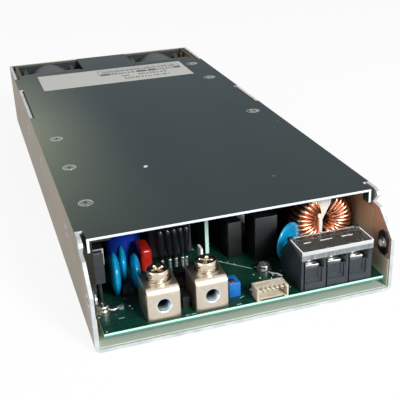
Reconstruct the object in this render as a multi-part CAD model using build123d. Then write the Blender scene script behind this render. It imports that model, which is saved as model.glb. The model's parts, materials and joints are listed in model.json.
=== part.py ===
from build123d import *
import math
import os

# Enclosed switching power supply with an open terminal bay at its front.
# Millimetres. X runs to the right seen from the terminal end, Y to the rear, Z up.
# The origin is the middle of the underside.

# Casing
length = 295.0
width = 127.0
height = 41.0
sheet = 1.5
cover_sheet = 1.0
bend_radius = 2.5
film = 0.4

# Levels of the board
standoff_height = 4.5
board_thickness = 1.6
board_side_gap = 2.5
board_front_gap = 0.5

# Fans
fan_size = 40.0
fan_depth = 28.0
fan_from_middle = 37.8
fan_bore_radius = 18.8
fan_hub_radius = 10.5
fan_flange = 3.2
fan_screw_pitch = 32.0
fan_blade_count = 7
fan_window_gap = 0.5
fan_cup_setback = 5.0
shaft_radius = 1.5
running_gap = 0.05
blade_tip_gap = 0.6

# Metric thread radii: the wall left in a tapped hole, and the shank that goes in it
m3_tapped = 1.5
m4_tapped = 1.65
m6_tapped = 2.5
thread_gap = 0.05
shank_hole_gap = 0.2

# Output blocks
output_width = 13.8
output_depth = 14.5
output_height = 14.0
output_left_x = -35.2
output_right_x = -15.6
output_front_gap = 1.5
output_hole_depth = 8.0
output_hole_chamfer = 0.6
output_screw_head_radius = 4.5
output_screw_head_height = 3.2
output_washer_radius = 5.0
output_washer = 0.8
output_spring = 1.1
output_tapped_radius = 2.1
output_thread_depth = 4.6

# Input terminal block
pole_pitch = 10.05
pole_count = 3
pole_wall = 1.7
terminal_left_from_side = 41.5
terminal_front_gap = 1.0
terminal_foot_depth = 21.0
terminal_top_depth = 12.6
terminal_floor = 7.4
terminal_sill = 9.6
terminal_wall_height = 17.2
terminal_screw_radius = 3.3
terminal_shank_radius = 1.7
clear_plate = 1.2
clear_lip_drop = 2.7
hinge_pin_radius = 0.8
hinge_ear_radius = 1.7
hinge_gap = 0.05

# Signal parts at the front edge
header_width = 13.4
header_depth = 6.5
header_height = 5.4
header_left_x = 2.6
header_wall = 0.6
header_pin_count = 6
header_pin_pitch = 2.0
trimmer_width = 4.8
trimmer_depth = 6.8
trimmer_height = 6.4
trimmer_left_x = -6.6
trimmer_front_gap = 7.5
trimmer_screw_radius = 1.1

# Toroid choke behind the input block
choke_from_side = 17.7
choke_from_front = 33.5
choke_radius = 14.0
choke_hole_radius = 4.9
choke_wire = 1.6
choke_core_depth = 9.0
choke_turns = 11
choke_slack = 0.1

# Worked out from the sizes above
front = -length / 2
rear = length / 2
side = width / 2
inner_side = side - sheet
film_side = inner_side - film
cover_under = height - cover_sheet
film_top = sheet + film
board_under = sheet + standoff_height
board_top = board_under + board_thickness
board_side = inner_side - board_side_gap
board_front = front + board_front_gap
fan_back = rear - sheet
fan_front = fan_back - fan_depth
fan_z = (height - fan_size) / 2 + fan_size / 2
board_rear = fan_front - 13.0
parts = {}


def span(x0, x1, y0, y1, z0, z1):
    """A block between two corners."""
    middle = Pos((x0 + x1) / 2, (y0 + y1) / 2, (z0 + z1) / 2)
    return middle * Box(x1 - x0, y1 - y0, z1 - z0)


def upright(radius, x, y, z0, z1):
    """A round post along Z."""
    return Pos(x, y, (z0 + z1) / 2) * Cylinder(radius, z1 - z0)


def lengthwise(radius, x, z, y0, y1):
    """A round bar along Y."""
    return Pos(x, (y0 + y1) / 2, z) * Rot(90, 0, 0) * Cylinder(radius, y1 - y0)


def crosswise(radius, y, z, x0, x1):
    """A round bar along X."""
    return Pos((x0 + x1) / 2, y, z) * Rot(0, 90, 0) * Cylinder(radius, x1 - x0)


def side_profile(points, x0, x1):
    """A flat outline of (y, z) points, carried from x0 to x1."""
    outline = Polyline(*[(x0, y, z) for y, z in points], close=True)
    return extrude(make_face(outline), amount=x1 - x0, dir=(1, 0, 0))


def vertical_edges(solid):
    """The edges of a block that run along Z."""
    return solid.edges().filter_by(Axis.Z)


def cross_recess(x, y, top, reach, depth):
    """The cross-shaped slot of a screw head."""
    arm = reach * 0.32
    one = span(x - reach, x + reach, y - arm / 2, y + arm / 2, top - depth, top + 1)
    other = span(x - arm / 2, x + arm / 2, y - reach, y + reach, top - depth, top + 1)
    return one + other


def keep(name, shape):
    """Store one node."""
    parts[name] = shape


def group(solids):
    """Several separate solids that share one node."""
    return Compound(children=[solid for solid in solids])


# Places of the fasteners, as distances along the casing
mounting_hole_from_front = 5.5
mounting_hole_height = 20.5
cover_setback = 15.5
cover_front = front + cover_setback
tab_inset = 3.2
tab_length = 6.5
lip_height = 5.0
lip_length = 5.0
left_notch = (24.0, 83.0)
right_notch = (3.0, 37.0)
rear_notch_length = 38.0
notch_inset = 2.6
heatsink_wall = 4.0
heatsink_flange = 11.6
heatsink_flange_thickness = 4.0
cover_screw_inset = 8.9
left_cover_screws = (-98.6, -56.9, -15.2)
right_cover_screws = (-13.2, 62.3, 99.8)
cover_screw_head = 3.0
cover_screw_length = 6.5
side_screw_height = 28.0
left_side_screws = (-95.2, -11.5, 43.8)
right_side_screws = (-5.0, 43.8, 90.0)
cooling_lift = 2.0
floor_nut_x = 50.0
floor_nut_front = 27.5
floor_nut_spacing = 210.0
nut_collar_radius = 2.7
nut_flange_radius = 3.6
nut_depth = 2.2
board_screw_inset = 6.0

board_screws = [
    (-board_side + 2.9, front + 16.2),
    (14.8, front + 22.8),
    (board_side - board_screw_inset, front + 48.0),
    (-board_side + board_screw_inset, -20.0),
    (board_side - board_screw_inset, -35.0),
    (-board_side + board_screw_inset, board_rear - 5.0),
    (board_side - board_screw_inset, board_rear - 5.0),
    (0.0, board_rear - 5.0),
]
floor_nuts = [
    (sx * floor_nut_x, y)
    for sx in (-1, 1)
    for y in (front + floor_nut_front, front + floor_nut_front + floor_nut_spacing)
]


def wall_outline():
    """The chassis wall seen from the side: a raised hook at the front carries the cover."""
    return [
        (front, 0),
        (front, 24.4),
        (front + 10.6, 34.3),
        (front + 16.5, 34.7),
        (front + 13.2, 38.9),
        (front + 14.0, 40.2),
        (front + 16.3, height),
        (front + 16.3 + tab_length, height),
        (front + 16.3 + tab_length, cover_under),
        (rear, cover_under),
        (rear, 0),
    ]


def fan_grille(x):
    """Three rings of slots round a solid middle, with four webs."""
    slots = []
    for ring in range(3):
        inner = 6.5 + ring * 4.0
        outer = inner + 2.8
        annulus = lengthwise(outer, x, fan_z, rear - sheet - 1, rear + 1)
        slots.append(annulus - lengthwise(inner, x, fan_z, rear - sheet - 1, rear + 1))
    webs = [
        Pos(x, rear, fan_z) * Rot(0, turn, 0) * Box(50, 10, 2.2)
        for turn in (45, 135)
    ]
    return (slots[0] + slots[1] + slots[2]) - webs[0] - webs[1]


def fan_screw_places():
    """Centres of the eight fan screws on the rear panel."""
    half = fan_screw_pitch / 2
    return [
        (sx * fan_from_middle + dx, fan_z + dz)
        for sx in (-1, 1)
        for dx in (-half, half)
        for dz in (-half, half)
    ]


def countersink_y(x, z, y, radius, depth):
    """A countersunk head whose flat face is at y, looking to the rear."""
    return Pos(x, y - depth / 2, z) * Rot(-90, 0, 0) * Cone(radius - depth, radius, depth)


def countersink_x(y, z, outer, sign, radius, depth):
    """A countersunk head whose flat face is at x = outer."""
    turn = Rot(0, 90, 0) if sign > 0 else Rot(0, -90, 0)
    return Pos(outer - sign * depth / 2, y, z) * turn * Cone(radius - depth, radius, depth)


def side_screws():
    """Side, Y place of each screw that holds a heatsink to its wall."""
    left = [(-1, y) for y in left_side_screws]
    return left + [(1, y) for y in right_side_screws]


def make_chassis():
    """One sheet: floor, two walls and a rear panel with the fan grilles."""
    outer = span(-side, side, front, rear, 0, height)
    outer = fillet(outer.edges().filter_by(Axis.Y).group_by(Axis.Z)[0], bend_radius)
    inner = span(-inner_side, inner_side, front - 1, fan_back, sheet, height + 1)
    inner = fillet(inner.edges().filter_by(Axis.Y).group_by(Axis.Z)[0], bend_radius - sheet)
    body = outer - inner
    body &= side_profile(wall_outline(), -side - 1, side + 1)
    tabs = [
        (-1, left_notch[0], left_notch[1]),
        (1, right_notch[0], right_notch[1]),
        (-1, rear - rear_notch_length, rear),
        (1, rear - rear_notch_length, rear),
    ]
    for sign, y0, y1 in tabs:
        x0, x1 = sorted((sign * inner_side, sign * side))
        body += span(x0, x1, y0 + 0.3, y1 - 0.3, cover_under, height)
    tongue = fan_from_middle - fan_size / 2 - fan_window_gap
    for x0, x1 in ((-inner_side, -tongue), (tongue, inner_side)):
        body += span(x0, x1, fan_back, rear, cover_under, height)
    for sign in (-1, 1):
        x = sign * fan_from_middle
        half = fan_size / 2 + fan_window_gap
        body -= span(x - half, x + half, fan_front - fan_window_gap, fan_back, -1, sheet)
        body -= fan_grille(x)
        hole = crosswise(nut_collar_radius, front + mounting_hole_from_front,
                         mounting_hole_height, sign * side - 2, sign * side + 2)
        body -= hole
    for x, z in fan_screw_places():
        body -= lengthwise(m3_tapped + shank_hole_gap, x, z, fan_back - 1, rear + 1)
        body -= countersink_y(x, z, rear, m3_tapped + shank_hole_gap + sheet, sheet)
    for sign, y in side_screws():
        body -= crosswise(m3_tapped + shank_hole_gap, y, side_screw_height,
                          sign * side - 2, sign * side + 2)
        body -= countersink_x(y, side_screw_height, sign * side, sign,
                              m3_tapped + shank_hole_gap + sheet, sheet)
    for x, y in floor_nuts:
        body -= upright(nut_collar_radius, x, y, -1, sheet + 1)
    keep("chassis", body)


def cover_outline():
    """The lid sheet with its side notches, before the fan cut-outs."""
    lid = span(-side, side, cover_front, rear, cover_under, height)
    step_y = front + 16.3 + tab_length + 0.3
    for sign in (-1, 1):
        x0, x1 = sorted((sign * (side - tab_inset), sign * (side + 1)))
        lid -= span(x0, x1, cover_front - 1, step_y, cover_under - 1, height + 1)
        lid -= span(x0, x1, rear - rear_notch_length, rear + 1, cover_under - 1, height + 1)
    cut = side - notch_inset
    lid -= span(-side - 1, -cut, left_notch[0], left_notch[1], cover_under - 1, height + 1)
    lid -= span(cut, side + 1, right_notch[0], right_notch[1], cover_under - 1, height + 1)
    return lid


def make_top_cover():
    """Flat lid: turned-down ears at the front corners, cut-outs above the fans."""
    lid = cover_outline()
    for sign in (-1, 1):
        x0, x1 = sorted((sign * (side - tab_inset), sign * (side - tab_inset - cover_sheet)))
        lid += span(x0, x1, cover_front, cover_front + lip_length,
                    cover_under - lip_height, cover_under)
        x = sign * fan_from_middle
        half = fan_size / 2 + fan_window_gap
        lid -= span(x - half, x + half, fan_front - fan_window_gap, rear + 1,
                    cover_under - 1, height + 1)
    lid -= span(-side, -side + tab_inset + 2, fan_back - 0.4, rear + 1, 0, height + 1)
    lid -= span(side - tab_inset - 2, side, fan_back - 0.4, rear + 1, 0, height + 1)
    for x, y in cover_screw_places():
        lid -= upright(m3_tapped + shank_hole_gap, x, y, cover_under - 1, height + 1)
        lid -= cover_countersink(x, y)
    lid -= upright(1.3, -21.3, -69.8, cover_under - 1, height + 1)
    keep("top_cover", lid)


def cover_screw_places():
    """X and Y of the six screws through the lid."""
    x = side - cover_screw_inset
    left = [(-x, y) for y in left_cover_screws]
    return left + [(x, y) for y in right_cover_screws]


def cover_countersink(x, y):
    """The cone that a cover screw's head sits in."""
    depth = cover_sheet
    return Pos(x, y, height - depth / 2) * Cone(cover_screw_head - depth, cover_screw_head, depth)


def cover_screw_solids():
    """Countersunk cross-head screws, flush with the lid."""
    screws = []
    for x, y in cover_screw_places():
        screw = cover_countersink(x, y)
        screw += upright(m3_tapped - thread_gap, x, y, height - cover_screw_length, height - 0.5)
        screw -= cross_recess(x, y, height, 1.5, 0.8)
        screws.append(screw)
    return screws


def side_screw_solids():
    """Countersunk screws through the walls into the heatsinks."""
    screws = []
    for sign, y in side_screws():
        head = countersink_x(y, side_screw_height, sign * side, sign,
                             m3_tapped + shank_hole_gap + sheet, sheet)
        x0, x1 = sorted((sign * (side - 0.5), sign * (film_side - heatsink_wall)))
        head += crosswise(m3_tapped - thread_gap, y, side_screw_height, x0, x1)
        for tall, wide in ((2.6, 0.7), (0.7, 2.6)):
            x0, x1 = sorted((sign * (side - 0.8), sign * (side + 1)))
            head -= span(x0, x1, y - wide / 2, y + wide / 2,
                         side_screw_height - tall / 2, side_screw_height + tall / 2)
        screws.append(head)
    return screws


def make_label():
    """Plain label sheet stuck on the lid."""
    keep("blank_label", span(-49.0, 47.3, 75.0, 110.0, height, height + 0.1))


def make_film():
    """Insulating tray: floor sheet turned up along both walls, stepped at the front."""
    tray_front = front + 0.8
    outer = span(-inner_side, inner_side, tray_front, board_rear, sheet, cover_under - 0.5)
    bottom = outer.edges().filter_by(Axis.Y).group_by(Axis.Z)[0]
    outer = fillet(bottom, bend_radius - sheet)
    inner = span(-film_side, film_side, tray_front - 1, board_rear + 1, film_top, height + 1)
    bottom = inner.edges().filter_by(Axis.Y).group_by(Axis.Z)[0]
    inner = fillet(bottom, bend_radius - sheet - film)
    tray = outer - inner
    low_top = 14.6
    high_top = 32.3
    front_step = front + 14.9
    rear_step = front + 24.8
    tray -= span(-side, side, tray_front - 1, front_step, low_top, height)
    tray -= span(-side, side, tray_front - 1, rear_step, high_top, height)
    for x, y in board_screws:
        tray -= upright(3.0, x, y, 0, film_top + 1)
    for x, y in floor_nuts:
        tray -= upright(nut_flange_radius + 0.3, x, y, 0, film_top + 1)
    for sign, y in side_screws():
        tray -= crosswise(m3_tapped + shank_hole_gap, y, side_screw_height,
                          sign * inner_side - 1, sign * inner_side + 1)
    keep("insulating_film", tray)


def make_wall_nuts():
    """Clinch nuts pressed into the walls, over black backing plates."""
    nuts = []
    plates = []
    y = front + mounting_hole_from_front
    z = mounting_hole_height
    plate_thickness = 0.8
    for sign in (-1, 1):
        inner_face = sign * (inner_side - plate_thickness)
        x0, x1 = sorted((sign * inner_side, inner_face))
        long_half = 5.2
        short_half = 3.7
        corner = 2.0
        plate = side_profile([
            (y - short_half, z - long_half + corner),
            (y - short_half + corner, z - long_half),
            (y + short_half - corner, z - long_half),
            (y + short_half, z - long_half + corner),
            (y + short_half, z + long_half - corner),
            (y + short_half - corner, z + long_half),
            (y - short_half + corner, z + long_half),
            (y - short_half, z + long_half - corner),
        ], x0, x1)
        plates.append(plate - crosswise(nut_collar_radius, y, z, x0 - 1, x1 + 1))
        x2, x3 = sorted((sign * side, inner_face))
        nut = crosswise(nut_collar_radius, y, z, x2, x3)
        x4, x5 = sorted((inner_face, inner_face - sign * 0.9))
        nut += crosswise(nut_collar_radius - 0.3, y, z, x4, x5)
        nut -= crosswise(m4_tapped, y, z, min(x2, x4) - 1, max(x3, x5) + 1)
        nuts.append(nut)
    keep("side_nut_plates", group(plates))
    keep("mounting_nuts", group(nuts + floor_mount_nuts()))


def floor_mount_nuts():
    """Clinch nuts in the floor, the usual way to bolt such a supply down."""
    nuts = []
    for x, y in floor_nuts:
        nut = upright(nut_collar_radius, x, y, 0, sheet)
        nut += upright(nut_flange_radius, x, y, sheet, sheet + nut_depth)
        nuts.append(nut - upright(m4_tapped, x, y, -1, sheet + nut_depth + 1))
    return nuts


def make_standoffs_and_screws():
    """Pressed-in stand-offs, and the pan head screws that hold the board on them."""
    standoffs = []
    screws = []
    washer = 0.7
    head_radius = 2.7
    head_height = 2.0
    for index, (x, y) in enumerate(board_screws):
        post = upright(2.6, x, y, sheet, board_under)
        standoffs.append(post - upright(m3_tapped, x, y, sheet + 0.6, board_under + 1))
        base = board_top + (earth_lug if index < 2 else 0.0)
        screw = upright(head_radius + 0.6, x, y, base, base + washer)
        screw += upright(head_radius, x, y, base + washer, base + washer + head_height)
        rim = screw.faces().sort_by(Axis.Z)[-1].edges()
        screw = fillet(rim, 0.7)
        screw += upright(m3_tapped - thread_gap, x, y, sheet + 1.6, base + washer)
        screw -= cross_recess(x, y, base + washer + head_height, 1.6, 1.0)
        screws.append(screw)
    keep("board_standoffs", group(standoffs))
    keep("board_screws", group(screws))


earth_lug = 0.8


def make_earth_lugs():
    """Ring lugs under the two front board screws, each with a tail soldered to the board."""
    lugs = []
    tails = ((8.2, 1.0, 1.6), (4.6, -7.6, 1.6))
    for (x, y), (dx, dy, tail_width) in zip(board_screws[:2], tails):
        ring = upright(3.2, x, y, board_top, board_top + earth_lug)
        reach = math.hypot(dx, dy)
        turn = math.degrees(math.atan2(dy, dx))
        tail = Box(reach, tail_width, earth_lug, align=(Align.MIN, Align.CENTER, Align.MIN))
        ring += Pos(x, y, board_top) * Rot(0, 0, turn) * tail
        lugs.append(ring - upright(m3_tapped + shank_hole_gap, x, y, board_top - 1, board_top + 2))
    keep("earth_lugs", group(lugs))


def make_main_board():
    """The board, drilled where screws pass."""
    board = span(-board_side, board_side, board_front, board_rear, board_under, board_top)
    for x, y in board_screws:
        board -= upright(m3_tapped + shank_hole_gap, x, y, 0, height)
    for x in (output_left_x, output_right_x):
        board -= upright(block_screw_radius + shank_hole_gap, x, output_screw_y, 0, height)
    keep("main_board", board)


output_front = front + output_front_gap
output_screw_y = output_front + output_depth * 0.52
output_top = board_top + output_height
output_hole_z = board_top + output_height * 0.47
block_screw_radius = 1.95
block_screw_depth = 3.4


def make_output_block(name, x):
    """Plated block with a tapped cable hole at the front and a tapped hole on top."""
    half = output_width / 2
    block = span(x - half, x + half, output_front, output_front + output_depth, board_top, output_top)
    block = fillet(block.faces().sort_by(Axis.Z)[-1].edges().filter_by(Axis.X), 1.2)
    block = fillet(vertical_edges(block), 0.8)
    hole_back = output_front + output_hole_depth
    block -= lengthwise(m6_tapped, x, output_hole_z, output_front - 1, hole_back)
    mouth = m6_tapped + output_hole_chamfer
    taper = Cone(m6_tapped, mouth, output_hole_chamfer)
    block -= Pos(x, output_front + output_hole_chamfer / 2, output_hole_z) * Rot(90, 0, 0) * taper
    block -= upright(output_tapped_radius, x, output_screw_y,
                     output_top - output_thread_depth, output_top + 1)
    block -= upright(block_screw_radius, x, output_screw_y, board_top - 1,
                     board_top + block_screw_depth)
    keep(name, block)


def make_output_fasteners():
    """Washers on each block, and the screws that hold the blocks down from below."""
    flats = []
    springs = []
    anchors = []
    flat_top = output_top + output_washer
    for x in (output_left_x, output_right_x):
        bore = output_tapped_radius + 0.5
        flat = upright(output_washer_radius, x, output_screw_y, output_top, flat_top)
        flats.append(flat - upright(bore, x, output_screw_y, output_top - 1, flat_top + 1))
        spring = upright(output_washer_radius - 0.8, x, output_screw_y, flat_top, flat_top + output_spring)
        spring -= upright(bore, x, output_screw_y, flat_top - 1, flat_top + 3)
        spring -= span(x, x + 6, output_screw_y - 0.3, output_screw_y + 0.3, flat_top - 1, flat_top + 3)
        springs.append(spring)
        anchor = upright(3.4, x, output_screw_y, board_under - 1.8, board_under)
        anchor += upright(block_screw_radius - thread_gap, x, output_screw_y,
                          board_under, board_top + block_screw_depth - 0.4)
        anchors.append(anchor)
    keep("output_washers", group(flats + springs))
    keep("block_anchor_screws", group(anchors))


def make_output_screw(name, x):
    """Pan head screw with a cross slot and a plain slot."""
    seat = output_top + output_washer + output_spring
    top = seat + output_screw_head_height
    screw = upright(output_screw_head_radius, x, output_screw_y, seat, top)
    screw = fillet(screw.faces().sort_by(Axis.Z)[-1].edges(), 1.1)
    screw += upright(output_tapped_radius - thread_gap, x, output_screw_y,
                     output_top - output_thread_depth + 0.5, seat)
    screw -= cross_recess(x, output_screw_y, top, 2.6, 1.5)
    keep(name, screw)


terminal_left = side - terminal_left_from_side
terminal_width = pole_count * pole_pitch + pole_wall
terminal_right = terminal_left + terminal_width
terminal_front = front + terminal_front_gap
terminal_top = board_top + terminal_wall_height
hinge_y = terminal_front + terminal_top_depth
hinge_z = terminal_top + 0.1
pole_centres = [terminal_left + pole_wall / 2 + (n + 0.5) * pole_pitch for n in range(pole_count)]
clamp_y = terminal_front + 8.0
bus_top = board_top + terminal_floor + 1.0
clamp_thickness = 1.2
cheek = 0.9


def make_terminal_block():
    """Moulded block: a floor, walls between the poles, and recessed windows in its front."""
    sill_top = board_top + terminal_sill
    floor_top = board_top + terminal_floor
    back = terminal_front + terminal_foot_depth
    body = span(terminal_left, terminal_right, terminal_front, back, board_top, floor_top)
    wall = [
        (terminal_front, floor_top),
        (terminal_front, terminal_top - clear_lip_drop - 0.4),
        (hinge_y - 3.0, terminal_top - 0.2),
        (hinge_y + 0.6, terminal_top - 0.2),
        (back, floor_top + 1.0),
        (back, floor_top),
    ]
    inner_wall = [
        (terminal_front, floor_top),
        (terminal_front + 0.4, terminal_top - 0.2),
        (hinge_y - 1.8, terminal_top - 0.2),
        (hinge_y - 1.2, terminal_top - 1.8),
        (hinge_y + 1.2, terminal_top - 1.8),
        (back, floor_top + 1.0),
        (back, floor_top),
    ]
    for n in range(pole_count + 1):
        x = terminal_left + n * pole_pitch
        outline = wall if n in (0, pole_count) else inner_wall
        body += side_profile(outline, x, x + pole_wall)
    body += span(terminal_left, terminal_right, terminal_front, terminal_front + 1.4,
                 floor_top, sill_top)
    body += span(terminal_left, terminal_right, back - 6.0, back - 4.0, floor_top, floor_top + 5.0)
    for x in (terminal_left, terminal_right - pole_wall):
        body += crosswise(hinge_ear_radius, hinge_y, hinge_z, x, x + pole_wall)
        body -= crosswise(hinge_pin_radius + hinge_gap, hinge_y, hinge_z, x - 1, x + pole_wall + 1)
    for n, x in enumerate(pole_centres):
        left = terminal_left + n * pole_pitch + pole_wall
        right = left + pole_pitch - pole_wall
        body -= span(left + 0.2, right - 0.9, terminal_front - 1, terminal_front + 0.7,
                     board_top + 3.2, sill_top + 1)
        body -= span(left + 0.2, right - 2.2, terminal_front - 1, terminal_front + 1.1,
                     board_top + 4.6, sill_top + 1)
        body -= span(left - 0.7, left - 0.1, terminal_front - 1, terminal_front + 1.2,
                     board_top - 1, terminal_top - clear_lip_drop - 1.2)
        body -= upright(terminal_shank_radius + 0.3, x, clamp_y, board_top + 2.0, height)
    keep("input_terminal_block", body)


def make_contacts():
    """Contact bars on the block's floor, and the square clamp plates above them."""
    bars = []
    clamps = []
    half = (pole_pitch - pole_wall) / 2 - 0.35
    floor_top = board_top + terminal_floor
    for x in pole_centres:
        bar = span(x - half + 0.5, x + half - 0.5, terminal_front + 2.0,
                   terminal_front + 14.5, floor_top, bus_top)
        bar -= upright(terminal_shank_radius, x, clamp_y, floor_top - 1, height)
        bars.append(bar)
        clamp_top = bus_top + clamp_thickness
        clamp = span(x - half, x + half, clamp_y - 4.6, clamp_y + 4.2, bus_top, clamp_top)
        clamp += span(x - half + 0.9, x + half - 0.9, clamp_y - 5.4, clamp_y - 4.6,
                      bus_top, clamp_top + 0.6)
        clamp -= upright(terminal_shank_radius + 0.2, x, clamp_y, bus_top - 1, height)
        clamps.append(clamp)
    keep("input_contact_bars", group(bars))
    keep("input_clamp_plates", group(clamps))


def make_terminal_screw(name, x):
    """Cross-head terminal screw on its clamp plate."""
    seat = bus_top + clamp_thickness
    top = seat + 2.6
    screw = upright(terminal_screw_radius, x, clamp_y, seat, top)
    screw = fillet(screw.faces().sort_by(Axis.Z)[-1].edges(), 0.7)
    screw += upright(terminal_shank_radius - thread_gap, x, clamp_y, board_top + 2.6, seat)
    screw -= cross_recess(x, clamp_y, top, 2.2, 1.2)
    keep(name, screw)


def make_clear_cover():
    """Clear lid of the terminal block: top plate, front lip, end cheeks and hinge pins."""
    plate_under = terminal_top
    plate_top = plate_under + clear_plate
    lip_front = terminal_front - 0.7
    lid = span(terminal_left, terminal_right, lip_front, hinge_y - 1.9, plate_under, plate_top)
    lid += span(terminal_left, terminal_right, lip_front, terminal_front - 0.1,
                plate_under - clear_lip_drop, plate_under)
    inside = pole_wall + 0.3
    lid += span(terminal_left + inside, terminal_right - inside, hinge_y - 2.0, hinge_y - 0.2,
                plate_under, plate_top)
    knuckle_radius = 1.15
    lid += crosswise(knuckle_radius, hinge_y, hinge_z, terminal_left + inside,
                     terminal_right - inside)
    lid += crosswise(hinge_pin_radius, hinge_y, hinge_z, terminal_left + 0.2, terminal_right - 0.2)
    for x0 in (terminal_left, terminal_right - cheek):
        lid += side_profile([
            (lip_front, plate_under),
            (lip_front, plate_under - clear_lip_drop),
            (terminal_front - 0.1, plate_under - clear_lip_drop + 0.1),
            (hinge_y - 5.0, plate_under),
        ], x0, x0 + cheek)
    lid += span(terminal_left, terminal_right, lip_front, lip_front + 0.6,
                plate_under - clear_lip_drop, plate_under - clear_lip_drop + 0.6)
    keep("input_clear_cover", lid)


header_front = front + 0.1


def make_header():
    """Side-entry pin header: a shell that is open at the front, on two feet."""
    x0 = header_left_x
    x1 = x0 + header_width
    top = board_top + header_height
    back = header_front + header_depth
    shell = span(x0, x1, header_front, back, board_top, top)
    shell -= span(x0 + header_wall, x1 - header_wall, header_front - 1, back - 1.2,
                  board_top + header_wall, top - header_wall)
    shell -= span(x0 + 1.6, x1 - 1.6, header_front - 1, header_front + 1.4, board_top - 1,
                  board_top + 2.4)
    slots = header_pin_count
    for n in range(slots):
        x = header_pin_x(n)
        shell -= span(x - 0.45, x + 0.45, header_front - 1, header_front + 2.4, top - 1.5, top + 1)
    shell -= span(x0 + 1.0, x1 - 1.0, back - 1.3, back - 0.5, top - 0.5, top + 1)
    for n in range(slots):
        x = header_pin_x(n)
        shell -= lengthwise(header_pin_radius, x, header_pin_z, header_front, back + 1)
    keep("signal_header", shell)


header_pin_radius = 0.32
header_pin_z = board_top + header_height / 2


def header_pin_x(n):
    """X of header pin n."""
    middle = header_left_x + header_width / 2
    return middle + (n - (header_pin_count - 1) / 2) * header_pin_pitch


def make_header_pins():
    """Pins bent down behind the header to the board."""
    pins = []
    back = header_front + header_depth
    for n in range(header_pin_count):
        x = header_pin_x(n)
        pin = lengthwise(header_pin_radius, x, header_pin_z, header_front + 2.2, back + 1.0)
        pin += upright(header_pin_radius, x, back + 1.0, board_top, header_pin_z + header_pin_radius)
        pins.append(pin)
    keep("header_pins", group(pins))


def make_trimmer():
    """Trimmer: a sealed body with its adjusting screw near one corner."""
    x0 = trimmer_left_x
    y0 = front + trimmer_front_gap
    top = board_top + trimmer_height
    body = span(x0, x0 + trimmer_width, y0, y0 + trimmer_depth, board_top, top)
    body = chamfer(body.faces().sort_by(Axis.Z)[-1].edges(), 0.25)
    x = x0 + trimmer_screw_radius + 0.7
    y = y0 + trimmer_screw_radius + 0.9
    body -= upright(trimmer_screw_radius + running_gap, x, y, top - 2.4, top + 1)
    keep("trimmer_body", body)
    screw = upright(trimmer_screw_radius, x, y, top - 2.3, top + 0.5)
    screw -= span(x - 2, x + 2, y - 0.2, y + 0.2, top - 0.1, top + 1)
    keep("trimmer_screw", screw)


def disc(radius, thickness, centre, turn):
    """A dipped disc capacitor: a thin lens-edged coin with two leads down to the board."""
    x, y, z = centre
    half = thickness / 2
    arc = ThreePointArc((radius * 0.62, 0, half), (radius * 0.93, 0, half * 0.62), (radius, 0, 0))
    mirrored = ThreePointArc((radius, 0, 0), (radius * 0.93, 0, -half * 0.62), (radius * 0.62, 0, -half))
    outline = Polyline((radius * 0.62, 0, -half), (0, 0, -half), (0, 0, half), (radius * 0.62, 0, half))
    coin = revolve(make_face(arc + mirrored + outline), axis=Axis.Z)
    coin = Pos(x, y, z) * Rot(0, 0, turn) * Rot(0, 90, 0) * coin
    lead_half = 2.5
    dx = -lead_half * math.sin(math.radians(turn))
    dy = lead_half * math.cos(math.radians(turn))
    low = z - radius * 0.75
    for sign in (-1, 1):
        coin += upright(0.4, x + sign * dx, y + sign * dy, board_top, low)
    return coin


def make_disc_capacitors():
    """Three small discs at the left, edge on, and a larger one behind the input block."""
    discs = [
        disc(8.2, 4.6, (-side + 14.8, front + 27.8, board_top + 10.4), 8),
        disc(7.4, 4.0, (-side + 20.6, front + 38.0, board_top + 8.4), 6),
        disc(7.4, 4.4, (-side + 24.6, front + 30.5, board_top + 7.6), 4),
    ]
    place = (terminal_left + 10.0, front + 24.6, board_top + 9.6)
    discs.append(disc(8.0, 3.6, place, 90))
    keep("disc_capacitors", group(discs))


def make_film_capacitor():
    """Dipped film capacitor, its rounded end to the front."""
    x = -side + 30.6
    y0 = front + 37.5
    body = span(x - 2.5, x + 2.5, y0, y0 + 11.5, board_top + 1.0, board_top + 12.2)
    body = fillet(body.edges(), 1.6)
    for y in (y0 + 3.0, y0 + 8.5):
        body += upright(0.4, x, y, board_top, board_top + 2.0)
    keep("film_capacitor", body)


def can(radius, x, y, z0, z1):
    """An upright electrolytic can with a crimp groove near its foot."""
    body = upright(radius, x, y, z0, z1)
    body = fillet(body.faces().sort_by(Axis.Z)[-1].edges(), 0.9)
    groove = upright(radius + 1, x, y, z0 + 2.6, z0 + 3.8) - upright(radius - 0.5, x, y, z0, z0 + 5)
    return body - groove


def make_cans():
    """Electrolytics: the blue one in view, the bulk and the output ones under the lid."""
    keep("filter_capacitor", can(8.0, -side + 24.9, front + 60.5, board_top, cover_under - 1.5))
    bulk_x = side - 33.5
    bulk = [can(14.8, bulk_x, y, board_top, cover_under - 1.8) for y in (-26.0, 5.5, 37.0)]
    keep("bulk_capacitors", group(bulk))
    output_x = -side + 20.5
    output = [can(6.2, output_x, y, board_top, cover_under - 5) for y in (-66, -51, -36, -21, -6)]
    keep("output_capacitors", group(output))


output_choke_y = front + 57.0
output_choke_x = -side + 44.5


def make_output_choke():
    """Choke on a bar core along X; its sleeved turns arch over and down to the board."""
    x = output_choke_x
    y = output_choke_y
    core_z = board_top + 15.0
    core = span(x - 9.5, x + 9.5, y - 7.0, y + 9.0, board_top, core_z + 9.0)
    keep("output_choke_core", fillet(core.edges().filter_by(Axis.X), 1.5))
    leads = []
    wire = 1.0
    front_of_core = y - 7.0
    lead_y = front_of_core - 5.2
    arch = 5.2 - 1.2
    for offset in (-6.8, -3.6, -0.4, 2.6, 4.9):
        start = (x + offset, front_of_core, core_z + 7.0)
        corner = (x + offset, lead_y, core_z + 7.0)
        end = (x + offset, lead_y, board_top)
        path = FilletPolyline(start, corner, end, radius=arch)
        section = Plane(start, z_dir=(0, -1, 0)) * Circle(wire)
        leads.append(sweep(section, path=path))
    keep("output_choke_leads", group(leads))


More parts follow.
